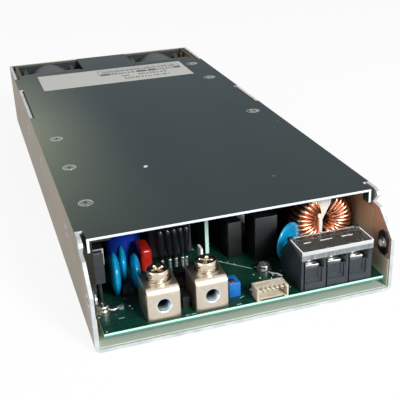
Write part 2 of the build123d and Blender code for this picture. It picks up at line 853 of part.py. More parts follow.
choke_x = side - choke_from_side
choke_y = front + choke_from_front
choke_z = board_top + choke_radius + 0.6
choke_core_outer = choke_radius - choke_wire
choke_core_inner = choke_hole_radius + choke_wire


def choke_turn(angle):
    """One loop of thick wire round the core's section, at an angle about the choke's axis."""
    radial = (choke_core_outer - choke_core_inner) / 2 + choke_wire
    middle = (choke_core_outer + choke_core_inner) / 2
    deep = choke_core_depth / 2 + choke_wire
    outer = RectangleRounded(2 * radial, 2 * deep, 2.6)
    inner = Rectangle(2 * (radial - choke_wire), 2 * (deep - choke_wire))
    loop = extrude(outer - inner, amount=choke_wire / 2, both=True)
    loop = Rot(0, 0, angle) * Pos(middle, 0, 0) * Rot(90, 0, 0) * loop
    return Pos(choke_x, choke_y, choke_z) * Rot(90, 0, 0) * loop


def make_choke():
    """Common-mode choke: an upright ring core, two windings and a divider between them."""
    half = choke_core_depth / 2
    core = lengthwise(choke_core_outer, choke_x, choke_z, choke_y - half, choke_y + half)
    hole = choke_core_inner + choke_slack
    core -= lengthwise(hole, choke_x, choke_z, choke_y - half - 1, choke_y + half + 1)
    keep("choke_core", core)
    step = 13.0
    spread = (choke_turns - 1) * step / 2
    windings = []
    for middle in (180, 0):
        turns = [choke_turn(middle - spread + n * step) for n in range(choke_turns)]
        winding = turns[0]
        for turn in turns[1:]:
            winding += turn
        windings.append(winding)
    keep("choke_windings", group(windings))
    reach = half + choke_wire
    low = choke_z - choke_core_inner
    high = choke_z + choke_core_inner
    divider = span(choke_x - 0.7, choke_x + 0.7, choke_y - reach, choke_y + reach, low, high)
    divider += span(choke_x - 1.1, choke_x + 1.1, choke_y - reach, choke_y - half,
                    choke_z + choke_core_inner - 1, choke_z + choke_core_outer)
    divider += span(choke_x - 1.1, choke_x + 1.1, choke_y - reach, choke_y - half,
                    board_top, choke_z - choke_core_inner + 1)
    divider += span(choke_x - 8, choke_x + 8, choke_y - reach, choke_y + reach,
                    board_top, choke_z - choke_radius)
    keep("choke_divider", divider)


def make_dark_boxes():
    """Box capacitors of the input filter, upright behind the header."""
    one = span(4.0, 10.6, front + 38.5, front + 56.0, board_top, board_top + 17.2)
    other = span(14.0, 24.6, front + 31.5, front + 44.5, board_top, board_top + 20.8)
    boxes = [fillet(vertical_edges(box), 0.5) for box in (one, other)]
    keep("box_capacitors", group(boxes))


def make_control_board():
    """Upright board with its chips, its edge to the front."""
    x0 = -3.9
    x1 = x0 + board_thickness
    y0 = front + 46.5
    y1 = y0 + 38.0
    keep("control_board", span(x0, x1, y0, y1, board_top, cover_under - 0.8))
    chips = [
        span(x1, x1 + 1.8, y0 + 6 + 11 * n, y0 + 12 + 11 * n, board_top + 9, board_top + 17)
        for n in range(3)
    ]
    chips.append(span(x0 - 2.4, x0, y0 + 14, y0 + 24, board_top + 16, board_top + 22))
    keep("control_chips", group(chips))


def make_heatsink(name, sign, y0, y1, screws, wall_screws):
    """Angle bar against the wall; its flange takes the cover screws."""
    x_wall = sign * film_side
    x_leg = sign * (film_side - heatsink_wall)
    x_flange = sign * (film_side - heatsink_flange)
    low = board_top + cooling_lift
    a, b = sorted((x_wall, x_leg))
    bar = span(a, b, y0, y1, low, cover_under)
    a, b = sorted((x_wall, x_flange))
    bar += span(a, b, y0, y1, cover_under - heatsink_flange_thickness, cover_under)
    for y in screws:
        bar -= upright(m3_tapped, sign * (side - cover_screw_inset), y,
                       cover_under - heatsink_flange_thickness - 1, height)
    for y in wall_screws:
        bar -= crosswise(m3_tapped, y, side_screw_height, min(x_wall, x_leg) - 1,
                         max(x_wall, x_leg) + 1)
    keep(name, bar)


left_sink_front = front + 21.5
left_devices = (front + 27.0, -88.0, -60.0, -30.0, 10.0)
right_devices = (-12.0, 20.0, 56.0)


def power_device(sign, y):
    """Flat plastic power package against a heatsink, on three legs."""
    face = film_side - heatsink_wall
    body_depth = 4.0
    a, b = sorted((sign * face, sign * (face - body_depth)))
    low = board_top + 9.4
    body = span(a, b, y - 5.0, y + 5.0, low, low + 13.0)
    leg_x = sign * (face - 2.2)
    for n in (-1, 0, 1):
        body += span(leg_x - 0.3, leg_x + 0.3, y + n * 2.54 - 0.5, y + n * 2.54 + 0.5,
                     board_top, low)
    return body


def device_clip(sign, y):
    """Spring clip that presses a package to its heatsink from above."""
    face = film_side - heatsink_wall
    body_depth = 4.0
    top = board_top + 9.4 + 13.0
    a, b = sorted((sign * (face - body_depth), sign * (face - body_depth - 0.6)))
    clip = span(a, b, y - 2.5, y + 2.5, top - 6.0, top + 1.2)
    a, b = sorted((sign * face, sign * (face - body_depth - 0.6)))
    return clip + span(a, b, y - 2.5, y + 2.5, top + 0.6, top + 1.2)


def make_power_devices():
    """Rectifiers on the left heatsink, switches on the right one, all held by clips."""
    left = [power_device(-1, y) for y in left_devices]
    right = [power_device(1, y) for y in right_devices]
    keep("output_rectifiers", group(left))
    keep("power_switches", group(right))
    clips = [device_clip(-1, y) for y in left_devices]
    clips += [device_clip(1, y) for y in right_devices]
    keep("device_clips", group(clips))
    face = film_side - heatsink_wall
    bridge = span(face - 4.6, face, 68.0, 92.0, board_top + 4.0, board_top + 24.0)
    for n in range(4):
        y = 71.0 + n * 6.0
        bridge += span(face - 2.7, face - 1.9, y - 0.6, y + 0.6, board_top, board_top + 4.0)
    keep("bridge_rectifier", bridge)


def make_transformer():
    """Main transformer: two E-shaped core halves round a bobbin with its winding."""
    x0, x1 = -27.0, 5.0
    y0, y1 = -54.0, -10.0
    low, high = board_top + 1.0, cover_under - 1.0
    core = span(x0, x1, y0, y1, low, high)
    core -= span(x0 + 6.0, x1 - 6.0, y0 - 1, y0 + 40.0, low + 5.0, high - 5.0)
    keep("transformer_core", core)
    bobbin = span(x0 + 6.0, x1 - 6.0, y0 - 4.0, y0 + 39.0, board_top, high - 5.2)
    bobbin -= span(x0 + 5.0, x1 - 5.0, y0, y0 + 50, board_top - 1, low + 5.2)
    keep("transformer_winding", bobbin)


def make_boost_choke():
    """Boost choke and the second filter choke, each a ring core with its winding."""
    x, y = -12.0, 42.0
    ring = upright(17.0, x, y, board_top, board_top + 20.8) - upright(7.5, x, y, 0, height)
    keep("boost_choke", fillet(ring.faces().sort_by(Axis.Z)[-1].edges(), 2.0))
    x, y = side - 25.0, front + 64.0
    ring = upright(13.5, x, y, board_top, board_top + 18.0) - upright(5.0, x, y, 0, height)
    keep("second_filter_choke", fillet(ring.faces().sort_by(Axis.Z)[-1].edges(), 2.0))


def make_small_parts():
    """Fuse, fan headers and the small transformer for the fans and control."""
    fuse_y = front + 50.0
    fuse_x = side - 44.0
    fuse = lengthwise(2.6, fuse_x, board_top + 4.2, fuse_y + 2, fuse_y + 18)
    for y in (fuse_y, fuse_y + 15.0):
        fuse += lengthwise(3.1, fuse_x, board_top + 4.2, y, y + 5)
        fuse += span(fuse_x - 0.6, fuse_x + 0.6, y + 1.5, y + 3.5, board_top, board_top + 2.0)
    keep("input_fuse", fuse)
    headers = [
        span(x - 3.8, x + 3.8, board_rear - 20, board_rear - 14, board_top, board_top + 6.0)
        for x in (-30.0, 30.0)
    ]
    keep("fan_headers", group(headers))
    body = span(-40.0, -24.0, 68.0, 84.0, board_top, board_top + 15.0)
    keep("standby_transformer", fillet(vertical_edges(body), 1.0))


fan_coils = []


def make_fan(name, x):
    """Tube fan: a square frame with a duct, a coil on its hub, and a bladed rotor."""
    half = fan_size / 2
    frame = span(x - half, x + half, fan_front, fan_front + fan_flange, fan_z - half, fan_z + half)
    frame += span(x - half, x + half, fan_back - fan_flange, fan_back, fan_z - half, fan_z + half)
    frame = fillet(frame.edges().filter_by(Axis.Y), 2.0)
    frame += lengthwise(half - 0.1, x, fan_z, fan_front, fan_back)
    frame -= lengthwise(fan_bore_radius, x, fan_z, fan_front - 1, fan_back + 1)
    for dx in (-fan_screw_pitch / 2, fan_screw_pitch / 2):
        for dz in (-fan_screw_pitch / 2, fan_screw_pitch / 2):
            frame -= lengthwise(m3_tapped, x + dx, fan_z + dz, fan_front - 1, fan_back + 1)
    hub_front = fan_back - 5.0
    cup_front = fan_front + fan_cup_setback
    struts = [
        Pos(x, fan_back - 1.5, fan_z) * Rot(0, turn, 0) * Box(2 * fan_bore_radius + 0.8, 3.0, 2.0)
        for turn in (0, 90)
    ]
    frame += struts[0] + struts[1]
    frame += lengthwise(fan_hub_radius, x, fan_z, hub_front, fan_back)
    tube_radius = shaft_radius + 1.2
    tube_front = cup_front + 3.2
    frame += lengthwise(tube_radius, x, fan_z, tube_front, hub_front)
    frame -= lengthwise(shaft_radius + running_gap, x, fan_z, tube_front - 1, fan_back - 1.0)
    keep(name + "_frame", frame)

    coil = lengthwise(fan_hub_radius - 1.8, x, fan_z, tube_front + 1.0, hub_front - 0.5)
    coil -= lengthwise(tube_radius, x, fan_z, tube_front, hub_front)
    fan_coils.append(coil)

    cup_back = hub_front - 0.6
    rotor = lengthwise(fan_hub_radius, x, fan_z, cup_front, cup_back)
    rotor = fillet(rotor.faces().sort_by(Axis.Y)[0].edges(), 1.0)
    rotor -= lengthwise(fan_hub_radius - 1.1, x, fan_z, cup_front + 1.6, cup_back + 1)
    rotor += lengthwise(shaft_radius, x, fan_z, cup_front + 1.0, fan_back - 1.5)
    middle = (cup_front + cup_back) / 2
    root = fan_hub_radius - 0.4
    tip = fan_bore_radius - blade_tip_gap
    for n in range(fan_blade_count):
        rotor += fan_blade(x, middle, root, tip, n * 360 / fan_blade_count)
    rotor &= lengthwise(tip, x, fan_z, fan_front, fan_back)
    keep(name + "_rotor", rotor)


def fan_blade(x, middle, root, tip, turn):
    """A blade lofted from a steep root section to a flatter tip section."""
    def section(radius, pitch, chord):
        plane = Plane((0, 0, radius), x_dir=(1, 0, 0), z_dir=(0, 0, 1))
        return plane * Rot(0, 0, pitch) * Rectangle(chord, 1.0)
    blade = loft([section(root, 58, 13.5), section(tip, 40, 15.5)], ruled=True)
    return Pos(x, middle, fan_z) * Rot(0, turn, 0) * blade


def make_fan_screws():
    """Countersunk screws through the rear panel into the fans' flanges."""
    screws = []
    for x, z in fan_screw_places():
        screw = countersink_y(x, z, rear, m3_tapped + shank_hole_gap + sheet, sheet)
        screw += lengthwise(m3_tapped - thread_gap, x, z, fan_back - 6.0, rear - 0.5)
        for wide, tall in ((2.6, 0.7), (0.7, 2.6)):
            screw -= span(x - wide / 2, x + wide / 2, rear - 0.8, rear + 1, z - tall / 2, z + tall / 2)
        screws.append(screw)
    keep("fan_screws", group(screws))


def build():
    """Make every node."""
    make_chassis()
    make_top_cover()
    keep("casing_screws", group(cover_screw_solids() + side_screw_solids()))
    make_label()
    make_film()
    make_wall_nuts()
    make_standoffs_and_screws()
    make_earth_lugs()
    make_main_board()
    make_output_block("output_block_left", output_left_x)
    make_output_block("output_block_right", output_right_x)
    make_output_fasteners()
    make_output_screw("output_screw_left", output_left_x)
    make_output_screw("output_screw_right", output_right_x)
    make_terminal_block()
    make_contacts()
    for n, x in enumerate(pole_centres):
        make_terminal_screw("input_screw_" + str(n + 1), x)
    make_clear_cover()
    make_header()
    make_header_pins()
    make_trimmer()
    make_disc_capacitors()
    make_film_capacitor()
    make_cans()
    make_output_choke()
    make_choke()
    make_dark_boxes()
    make_control_board()
    make_heatsink("heatsink_left", -1, left_sink_front, board_rear - 6, left_cover_screws,
                  left_side_screws)
    make_heatsink("heatsink_right", 1, -25.0, board_rear - 1, right_cover_screws,
                  right_side_screws)
    make_power_devices()
    make_transformer()
    make_boost_choke()
    make_small_parts()
    make_fan("fan_left", -fan_from_middle)
    make_fan("fan_right", fan_from_middle)
    keep("fan_coils", group(fan_coils))
    make_fan_screws()


build()
os.makedirs("parts", exist_ok=True)
for name, shape in parts.items():
    export_step(shape, os.path.join("parts", name + ".step"))
print(len(parts), "nodes")
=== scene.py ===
# %% [markdown]
# # Dressing an enclosed switching power supply
# The object is a long, low box of folded, plated sheet with its terminals in an open bay at
# the front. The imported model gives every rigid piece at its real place. This lesson gives each
# of them the finish of the real thing, and builds anew the pieces whose look is in their soft
# edges: wound copper, dipped capacitors, pressed screws, clear plastic and thin film.

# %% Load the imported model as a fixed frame
import json
import math

import bmesh
import bpy
import numpy as np
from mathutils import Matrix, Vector


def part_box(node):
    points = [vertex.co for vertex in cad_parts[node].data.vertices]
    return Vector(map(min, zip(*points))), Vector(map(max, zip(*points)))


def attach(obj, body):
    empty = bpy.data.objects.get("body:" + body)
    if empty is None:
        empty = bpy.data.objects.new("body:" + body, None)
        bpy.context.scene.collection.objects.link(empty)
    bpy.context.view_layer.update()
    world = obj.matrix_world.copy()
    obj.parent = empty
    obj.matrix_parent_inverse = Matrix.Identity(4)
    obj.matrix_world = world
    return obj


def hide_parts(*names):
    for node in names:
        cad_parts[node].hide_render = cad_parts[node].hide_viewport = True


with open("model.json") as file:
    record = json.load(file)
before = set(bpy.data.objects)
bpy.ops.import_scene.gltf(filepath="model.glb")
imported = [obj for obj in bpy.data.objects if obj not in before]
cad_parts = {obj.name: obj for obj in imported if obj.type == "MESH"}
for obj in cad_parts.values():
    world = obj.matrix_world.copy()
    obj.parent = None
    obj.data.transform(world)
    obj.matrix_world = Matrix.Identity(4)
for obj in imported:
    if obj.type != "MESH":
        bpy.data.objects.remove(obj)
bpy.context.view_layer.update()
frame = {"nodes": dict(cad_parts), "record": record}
nodes = frame["nodes"]
MM = 0.001


def node_box(name):
    """Lowest and highest corner of a node, in millimetres."""
    low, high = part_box(name)
    return np.array(low) / MM, np.array(high) / MM


body_of_node = {n: body for body, members in frame["record"]["behaviour"]["bodies"].items() for n in members}
case_low, case_high = node_box("chassis")
board_low, board_high = node_box("main_board")
board_top = board_high[2]
print("nodes", len(nodes), "casing", case_high - case_low)

# %% [markdown]
# ## The camera
# The photograph was taken from the front left and above, with a longish lens. Its place was
# solved from the casing's corners, so the values below are real: millimetres from the middle
# of the underside, degrees, and a focal length on a 36 mm frame. A small shift puts the lens
# axis where it was before the picture was cropped.

# %% Place the camera
camera_place = np.array([-93.0, -388.8, 171.9])
camera_azimuth = -17.85
camera_elevation = 24.93
camera_roll = -1.97
camera_lens = 68.53
camera_shift = (-0.0291, 0.0113)


def camera_axes(azimuth, elevation, roll):
    """Right, up and back vectors of a camera that looks along +Y at azimuth 0."""
    a, e, r = np.radians([azimuth, elevation, roll])
    back = np.array([math.sin(a) * math.cos(e), -math.cos(a) * math.cos(e), math.sin(e)])
    right = np.cross([0.0, 0.0, 1.0], back)
    right /= np.linalg.norm(right)
    up = np.cross(back, right)
    return math.cos(r) * right + math.sin(r) * up, math.cos(r) * up - math.sin(r) * right, back


camera = bpy.data.objects.new("photo_camera", bpy.data.cameras.new("photo_camera"))
bpy.context.scene.collection.objects.link(camera)
pose = np.eye(4)
pose[:3, 0], pose[:3, 1], pose[:3, 2] = camera_axes(camera_azimuth, camera_elevation, camera_roll)
pose[:3, 3] = camera_place * MM
camera.matrix_world = pose.T.tolist()
camera.data.lens = camera_lens
camera.data.sensor_width = 36.0
camera.data.shift_x, camera.data.shift_y = camera_shift
camera.data.clip_start = 0.01
bpy.context.scene.camera = camera
print("camera at", camera_place)

# %% [markdown]
# ## Helpers for materials
# Colours are written as the sRGB hex values that one sees, and one function turns them to the
# linear values that Blender computes with. Patterns are sized in millimetres, so each material
# starts from Object coordinates multiplied by 1000.

# %% Colour and node helpers
def linear(hex_colour):
    """sRGB hex to linear RGBA, by the sRGB transfer curve."""
    rgb = np.array([int(hex_colour[i:i + 2], 16) for i in (1, 3, 5)]) / 255
    low = rgb / 12.92
    high = ((rgb + 0.055) / 1.055) ** 2.4
    return (*np.where(rgb <= 0.04045, low, high).tolist(), 1.0)


def add(tree, kind, feeds=None, **settings):
    """Add one shader node: settings are its properties, feeds its inputs (a value or a socket)."""
    node = tree.nodes.new("ShaderNode" + kind)
    for key, value in settings.items():
        setattr(node, key, value)
    for key, value in (feeds or {}).items():
        if isinstance(value, bpy.types.NodeSocket):
            tree.links.new(value, node.inputs[key])
        else:
            node.inputs[key].default_value = value
    return node


def maths(tree, operation, a, b=0.0, c=0.0):
    """One Math node's result."""
    return add(tree, "Math", {0: a, 1: b, 2: c}, operation=operation).outputs[0]


def mixed(tree, factor, one, other):
    """Colour mixed from one to other by factor."""
    node = add(tree, "Mix", {0: factor, 6: one, 7: other}, data_type="RGBA")
    return node.outputs[2]


def start(name, base, roughness, metallic=0.0, **sockets):
    """A Principled material with constants on its sockets; returns material, tree, shader, mm."""
    material = bpy.data.materials.new(name)
    material.use_nodes = True
    tree = material.node_tree
    shader = tree.nodes["Principled BSDF"]
    shader.inputs["Base Color"].default_value = linear(base)
    shader.inputs["Roughness"].default_value = roughness
    shader.inputs["Metallic"].default_value = metallic
    for key, value in sockets.items():
        shader.inputs[key.replace("_", " ")].default_value = value
    place = add(tree, "TexCoord").outputs["Object"]
    mm = add(tree, "VectorMath", {0: place, 3: 1 / MM}, operation="SCALE").outputs[0]
    return material, tree, shader, mm


def stretched(tree, mm, scale):
    """Coordinates squeezed by (x, y, z), to draw grain along the axis with the smallest."""
    return add(tree, "VectorMath", {0: mm, 1: scale}, operation="MULTIPLY").outputs[0]


def noise(tree, vector, size, detail=2.0, roughness=0.5):
    """Noise whose blobs are about size millimetres."""
    feeds = {"Vector": vector, "Scale": 1 / size, "Detail": detail, "Roughness": roughness}
    return add(tree, "TexNoise", feeds).outputs[0]


def ramp(tree, value, low, high, to_low=0.0, to_high=1.0):
    """Value mapped from low..high to to_low..to_high, clamped."""
    feeds = {0: value, 1: low, 2: high, 3: to_low, 4: to_high}
    return add(tree, "MapRange", feeds, clamp=True).outputs[0]


def bump(tree, shader, height, depth, strength=1.0):
    """Feed a height into the shader's normal; depth is in millimetres."""
    feeds = {"Height": height, "Distance": depth * MM, "Strength": strength}
    tree.links.new(add(tree, "Bump", feeds).outputs[0], shader.inputs["Normal"])


def paint(shader, socket):
    """Link a colour socket to the base colour."""
    shader.id_data.links.new(socket, shader.inputs["Base Color"])


def parts_of(tree, vector):
    """X, Y and Z of a vector."""
    return add(tree, "SeparateXYZ", {0: vector}).outputs


def facing(tree):
    """X, Y and Z of the surface's own normal, which says which face of a sheet is seen."""
    return parts_of(tree, add(tree, "NewGeometry").outputs["Normal"])


# %% [markdown]
# ## Plated sheet
# The chassis is steel sheet with a yellow-passivated zinc plate: a thin tan film over metal,
# a little uneven, with rolled grain along its length. Where the sheet was sheared, the edge is
# bare metal, painted light grey as a highlight too, and the hook at the top of the right wall
# carries the same painted highlight. Painted light makes the sheet lighter towards the open
# front and the floor inside paler, and a painted reflection turns the inner face of the right
# wall orange higher up. The lid is the same stock with a darker, blue-green plate; a painted
# reflection makes it lighter and warmer towards its left edge, darker towards the rear and paler
# at the rear end, and its bare cut edges carry a painted highlight.

# %% Chassis sheet
def make_chassis_sheet():
    material, tree, shader, mm = start("passivated_zinc_sheet", "#9c8b72", 0.42, 0.4)
    x, y, z = parts_of(tree, mm)
    nx, ny, nz = facing(tree)
    patches = noise(tree, stretched(tree, mm, (1, 0.35, 1)), 14.0, 3.0)
    body = mixed(tree, ramp(tree, patches, 0.35, 0.65), linear("#6c5d44"), linear("#79684c"))
    # Painted light: the sheet is painted lighter towards the open front.
    front_painted_light = ramp(tree, y, -148.0, -128.0, 1.0, 0.0)
    body = mixed(tree, maths(tree, "MULTIPLY", front_painted_light, 0.35), body, linear("#b9b4aa"))
    # Painted reflection and painted light: the inner face of the right wall is painted lighter and more
    # orange higher up.
    inside = maths(tree, "MULTIPLY", ramp(tree, nx, -0.5, -0.9), ramp(tree, x, 50.0, 55.0))
    orange = ramp(tree, z, 18.0, 36.0)
    inner = mixed(tree, orange, linear("#c0a690"), linear("#cda184"))
    body = mixed(tree, inside, body, inner)
    # Painted light: the up-facing floor inside is painted a paler grey-green.
    floor_painted_light = maths(tree, "MULTIPLY", ramp(tree, nz, 0.8, 0.95), ramp(tree, z, 3.0, 2.5))
    body = mixed(tree, floor_painted_light, body, linear("#a9aea4"))
    # Sheared edges are bare metal, painted light grey as a highlight too; the top of the right wall's hook
    # takes the same painted highlight.
    front_cut = maths(tree, "MULTIPLY", ramp(tree, ny, -0.3, -0.6), ramp(tree, y, -120.0, -125.0))
    top_cut = maths(tree, "MULTIPLY", ramp(tree, nz, 0.3, 0.5), ramp(tree, z, 15.0, 20.0))
    hook_painted_highlight = maths(tree, "MULTIPLY", ramp(tree, z, 35.0, 37.0), ramp(tree, y, -128.0, -131.0))
    cut = maths(tree, "MAXIMUM", maths(tree, "MAXIMUM", front_cut, top_cut), hook_painted_highlight)
    sheared = noise(tree, mm, 7.0, 2.0)
    bare = mixed(tree, ramp(tree, sheared, 0.35, 0.65), linear("#abb1b4"), linear("#c4cacd"))
    paint(shader, mixed(tree, cut, body, bare))
    grain = noise(tree, stretched(tree, mm, (4.0, 0.25, 4.0)), 1.0, 2.0)
    bump(tree, shader, grain, 0.01, 0.5)
    return material


def make_lid_sheet():
    material, tree, shader, mm = start("slate_plated_sheet", "#2b3638", 0.5, 0.12, Specular_IOR_Level=0.12)
    x, y, z = parts_of(tree, mm)
    nx, ny, nz = facing(tree)
    # Painted reflection: the lid is painted lighter and warmer towards its left edge, darker and bluer
    # towards the rear, and paler again at the rear end.
    from_left = maths(tree, "ADD", x, 63.5)
    left_painted_reflection = maths(tree, "POWER", ramp(tree, from_left, 0.0, 48.0, 1.0, 0.0), 1.6)
    along = maths(tree, "MINIMUM", ramp(tree, y, -150.0, -5.0), ramp(tree, y, 190.0, 20.0))
    warm = maths(tree, "MULTIPLY", left_painted_reflection, along)
    rear_painted_shade = ramp(tree, y, -130.0, 0.0)
    body = mixed(tree, rear_painted_shade, linear("#1d2a2b"), linear("#0d252b"))
    body = mixed(tree, warm, body, linear("#707867"))
    rear_painted_light = ramp(tree, y, 85.0, 147.0)
    body = mixed(tree, maths(tree, "MULTIPLY", rear_painted_light, 0.45), body, linear("#3a4043"))
    # Cut edges are bare metal with a painted pale blue-white highlight.
    cut = ramp(tree, maths(tree, "ABSOLUTE", ny), 0.5, 0.7)
    cloud = noise(tree, stretched(tree, mm, (1, 0.5, 1)), 30.0, 3.0)
    body = mixed(tree, ramp(tree, cloud, 0.3, 0.7, 0.0, 0.12), body, linear("#36403d"))
    specks = add(tree, "TexVoronoi", {"Vector": mm, "Scale": 1 / 16.0}).outputs["Distance"]
    speck = maths(tree, "MULTIPLY", ramp(tree, specks, 0.035, 0.02), 0.5)
    body = mixed(tree, speck, body, linear("#b9c6c4"))
    paint(shader, mixed(tree, cut, body, linear("#ccd5db")))
    grain = noise(tree, stretched(tree, mm, (5.0, 0.2, 5.0)), 1.0, 2.0)
    bump(tree, shader, grain, 0.006, 0.4)
    return material


chassis_sheet = make_chassis_sheet()
lid_sheet = make_lid_sheet()

# %% [markdown]
# ## Plated and bare metals
# The output blocks are brass with a brushed nickel plate, which looks champagne under warm
# light. Screws are bright zinc, tinned parts are soft and pale, and the winding is enamelled
# copper, a clear varnish over bright orange metal.

# %% Metals
def brushed_metal(name, colour, darker, roughness, line=(0.4, 6.0, 6.0), depth=0.004):
    """A metal brushed along the axis whose factor in line is the smallest."""
    material, tree, shader, mm = start(name, colour, roughness, 1.0)
    streaks = noise(tree, stretched(tree, mm, line), 1.0, 3.0, 0.6)
    paint(shader, mixed(tree, ramp(tree, streaks, 0.3, 0.7), linear(darker), linear(colour)))
    bump(tree, shader, streaks, depth, 0.6)
    return material


def make_block_finish():
    """Brushed nickel; in the cable hole, a painted highlight at the mouth fading to painted shade deeper in,
    and the thread's grooves.
    """
    material, tree, shader, mm = start("brushed_nickel_plate", "#dccdb9", 0.34, 1.0)
    x, y, z = parts_of(tree, mm)
    left = block_hole("output_block_left")
    right = block_hole("output_block_right")
    from_left = maths(tree, "ABSOLUTE", maths(tree, "SUBTRACT", x, left[0]))
    from_right = maths(tree, "ABSOLUTE", maths(tree, "SUBTRACT", x, right[0]))
    sideways = maths(tree, "MINIMUM", from_left, from_right)
    upward = maths(tree, "SUBTRACT", z, left[1])
    square = maths(tree, "ADD", maths(tree, "MULTIPLY", sideways, sideways),
                   maths(tree, "MULTIPLY", upward, upward))
    radius = maths(tree, "SQRT", square)
    bore = ramp(tree, radius, 3.2, 3.05)
    streaks = noise(tree, stretched(tree, mm, (0.4, 6.0, 6.0)), 1.0, 3.0, 0.6)
    plate = mixed(tree, ramp(tree, streaks, 0.3, 0.7), linear("#c4b7a4"), linear("#e6dccd"))
    # Inside the cable hole: a painted bluish-white highlight at the mouth, fading to painted shade deeper
    # in.
    depth = ramp(tree, y, float(case_low[1]) + 2.6, float(case_low[1]) + 6.0)
    inside = mixed(tree, depth, linear("#e6f2f7"), linear("#26343c"))
    paint(shader, mixed(tree, bore, plate, inside))
    thread = maths(tree, "MULTIPLY", maths(tree, "SINE", maths(tree, "MULTIPLY", y, 6.28)), bore)
    relief = maths(tree, "ADD", maths(tree, "MULTIPLY", streaks, 0.02), thread)
    bump(tree, shader, relief, 0.2, 0.6)
    return material


def block_hole(name):
    """X and Z of the cable hole: the middle of the block, and 6.6 mm above the board."""
    low, high = node_box(name)
    return float((low[0] + high[0]) / 2), float(board_top + 6.6)


nickel_plate = make_block_finish()
bright_zinc = brushed_metal("bright_zinc_plate", "#d4d6d4", "#a9aaa4", 0.28, (1.5, 1.5, 1.5), 0.01)
tinned = brushed_metal("tinned_metal", "#dfe2e2", "#b4b8ba", 0.3, (1.0, 1.0, 1.0), 0.01)
brass = brushed_metal("turned_brass", "#d9a93f", "#a87820", 0.3, (1.0, 1.0, 1.0), 0.005)
# The heatsink bars are painted dark grey-brown: painted shade where they sit in shadow along the walls.
heatsink_painted_shade = brushed_metal("heatsink_bar_painted_shade", "#4a4640", "#37332e", 0.45, (4.0, 0.3, 4.0))
copper = brushed_metal("enamelled_copper", "#ffc3a2", "#ea946c", 0.3, (1.0, 1.0, 1.0), 0.004)
washer_steel = brushed_metal("washer_plate", "#d9d2c4", "#9c9484", 0.25, (1.0, 1.0, 8.0), 0.01)
lid_zinc = brushed_metal("dull_zinc_plate", "#8d8f88", "#5d5f59", 0.3, (1.5, 1.5, 1.5), 0.01)
# Clamp plates and lead tails are painted near pure white: tin with a painted highlight.
tin_painted_highlight = brushed_metal("tin_painted_highlight_white", "#ffffff", "#e2e6e8", 0.42, (1.0, 1.0, 1.0), 0.01)
dark_enamel = brushed_metal("dark_enamelled_copper", "#5e3422", "#3d2015", 0.4, (1.0, 1.0, 1.0))


# %% [markdown]
# ## Moulded plastics, dips and sleeves
# Moulded parts are a little rough and carry a fine spark-eroded texture of about 0.2 mm, drawn
# coarser than life so that it shows. Dipped capacitors are glossy epoxy, slightly wavy and
# darker where the dip is thin. Sleeves are shrunk film, smooth and shiny.

# %% Plastics
def moulded(name, colour, lighter, roughness, grit=0.5, depth=0.015, **sockets):
    """Moulded plastic with a soft cloudy tone and a fine eroded texture."""
    material, tree, shader, mm = start(name, colour, roughness, 0.0, **sockets)
    tone = noise(tree, mm, 3.0, 2.0)
    paint(shader, mixed(tree, ramp(tree, tone, 0.3, 0.7), linear(colour), linear(lighter)))
    bump(tree, shader, noise(tree, mm, grit, 2.0), depth, 0.5)
    return material


def dipped(name, colour, thin, edge=0.5):
    """Glossy dipped epoxy, with slow waves in its skin."""
    material, tree, shader, mm = start(name, colour, 0.16, 0.0)
    tone = noise(tree, mm, 4.0, 2.0)
    paint(shader, mixed(tree, ramp(tree, tone, 0.35, 0.7), linear(thin), linear(colour)))
    bump(tree, shader, noise(tree, mm, 2.5, 1.0), 0.12, edge)
    return material


black_plastic = moulded("black_moulding", "#0b0d0f", "#121416", 0.45)
dark_plastic = moulded("dark_grey_moulding", "#20272c", "#2a3238", 0.4)
package_plastic = moulded("package_epoxy", "#22292c", "#2b3235", 0.5)
cream_plastic = moulded("cream_nylon", "#b3a993", "#c9c0ac", 0.45)
white_plastic = moulded("white_moulding", "#e6e6e0", "#f2f2ee", 0.4)
trimmer_plastic = moulded("blue_moulding", "#0a5ca6", "#1069b6", 0.4)
fan_plastic = moulded("fan_moulding", "#091114", "#0f1c20", 0.5)
ferrite = moulded("ferrite", "#2a2a2c", "#343436", 0.55, 0.8, 0.03)
blue_dip = dipped("blue_dipped_epoxy", "#0d93c4", "#0a7aa6")
red_dip = dipped("red_dipped_epoxy", "#b8261a", "#8c150f")


def make_blue_sleeve():
    """Shrunk sleeve: deep blue, with the pale polarity stripe down its right side."""
    material, tree, shader, mm = start("blue_shrunk_sleeve", "#1d3fae", 0.25, 0.0)
    low, high = node_box("filter_capacitor")
    centre = (low + high) / 2
    x, y, z = parts_of(tree, mm)
    sideways = maths(tree, "SUBTRACT", x, float(centre[0]))
    forward = maths(tree, "SUBTRACT", float(centre[1]), y)
    angle = maths(tree, "ARCTAN2", forward, sideways)
    stripe = maths(tree, "MULTIPLY", ramp(tree, angle, 0.12, 0.16), ramp(tree, angle, 0.5, 0.46))
    paint(shader, mixed(tree, stripe, linear("#1c3cb0"), linear("#cfdde8")))
    bump(tree, shader, noise(tree, mm, 2.0), 0.03, 0.3)
    return material


def make_black_sleeve():
    material, tree, shader, mm = start("black_shrunk_sleeve", "#1c1e22", 0.28, 0.0)
    bump(tree, shader, noise(tree, mm, 2.0), 0.03, 0.3)
    return material


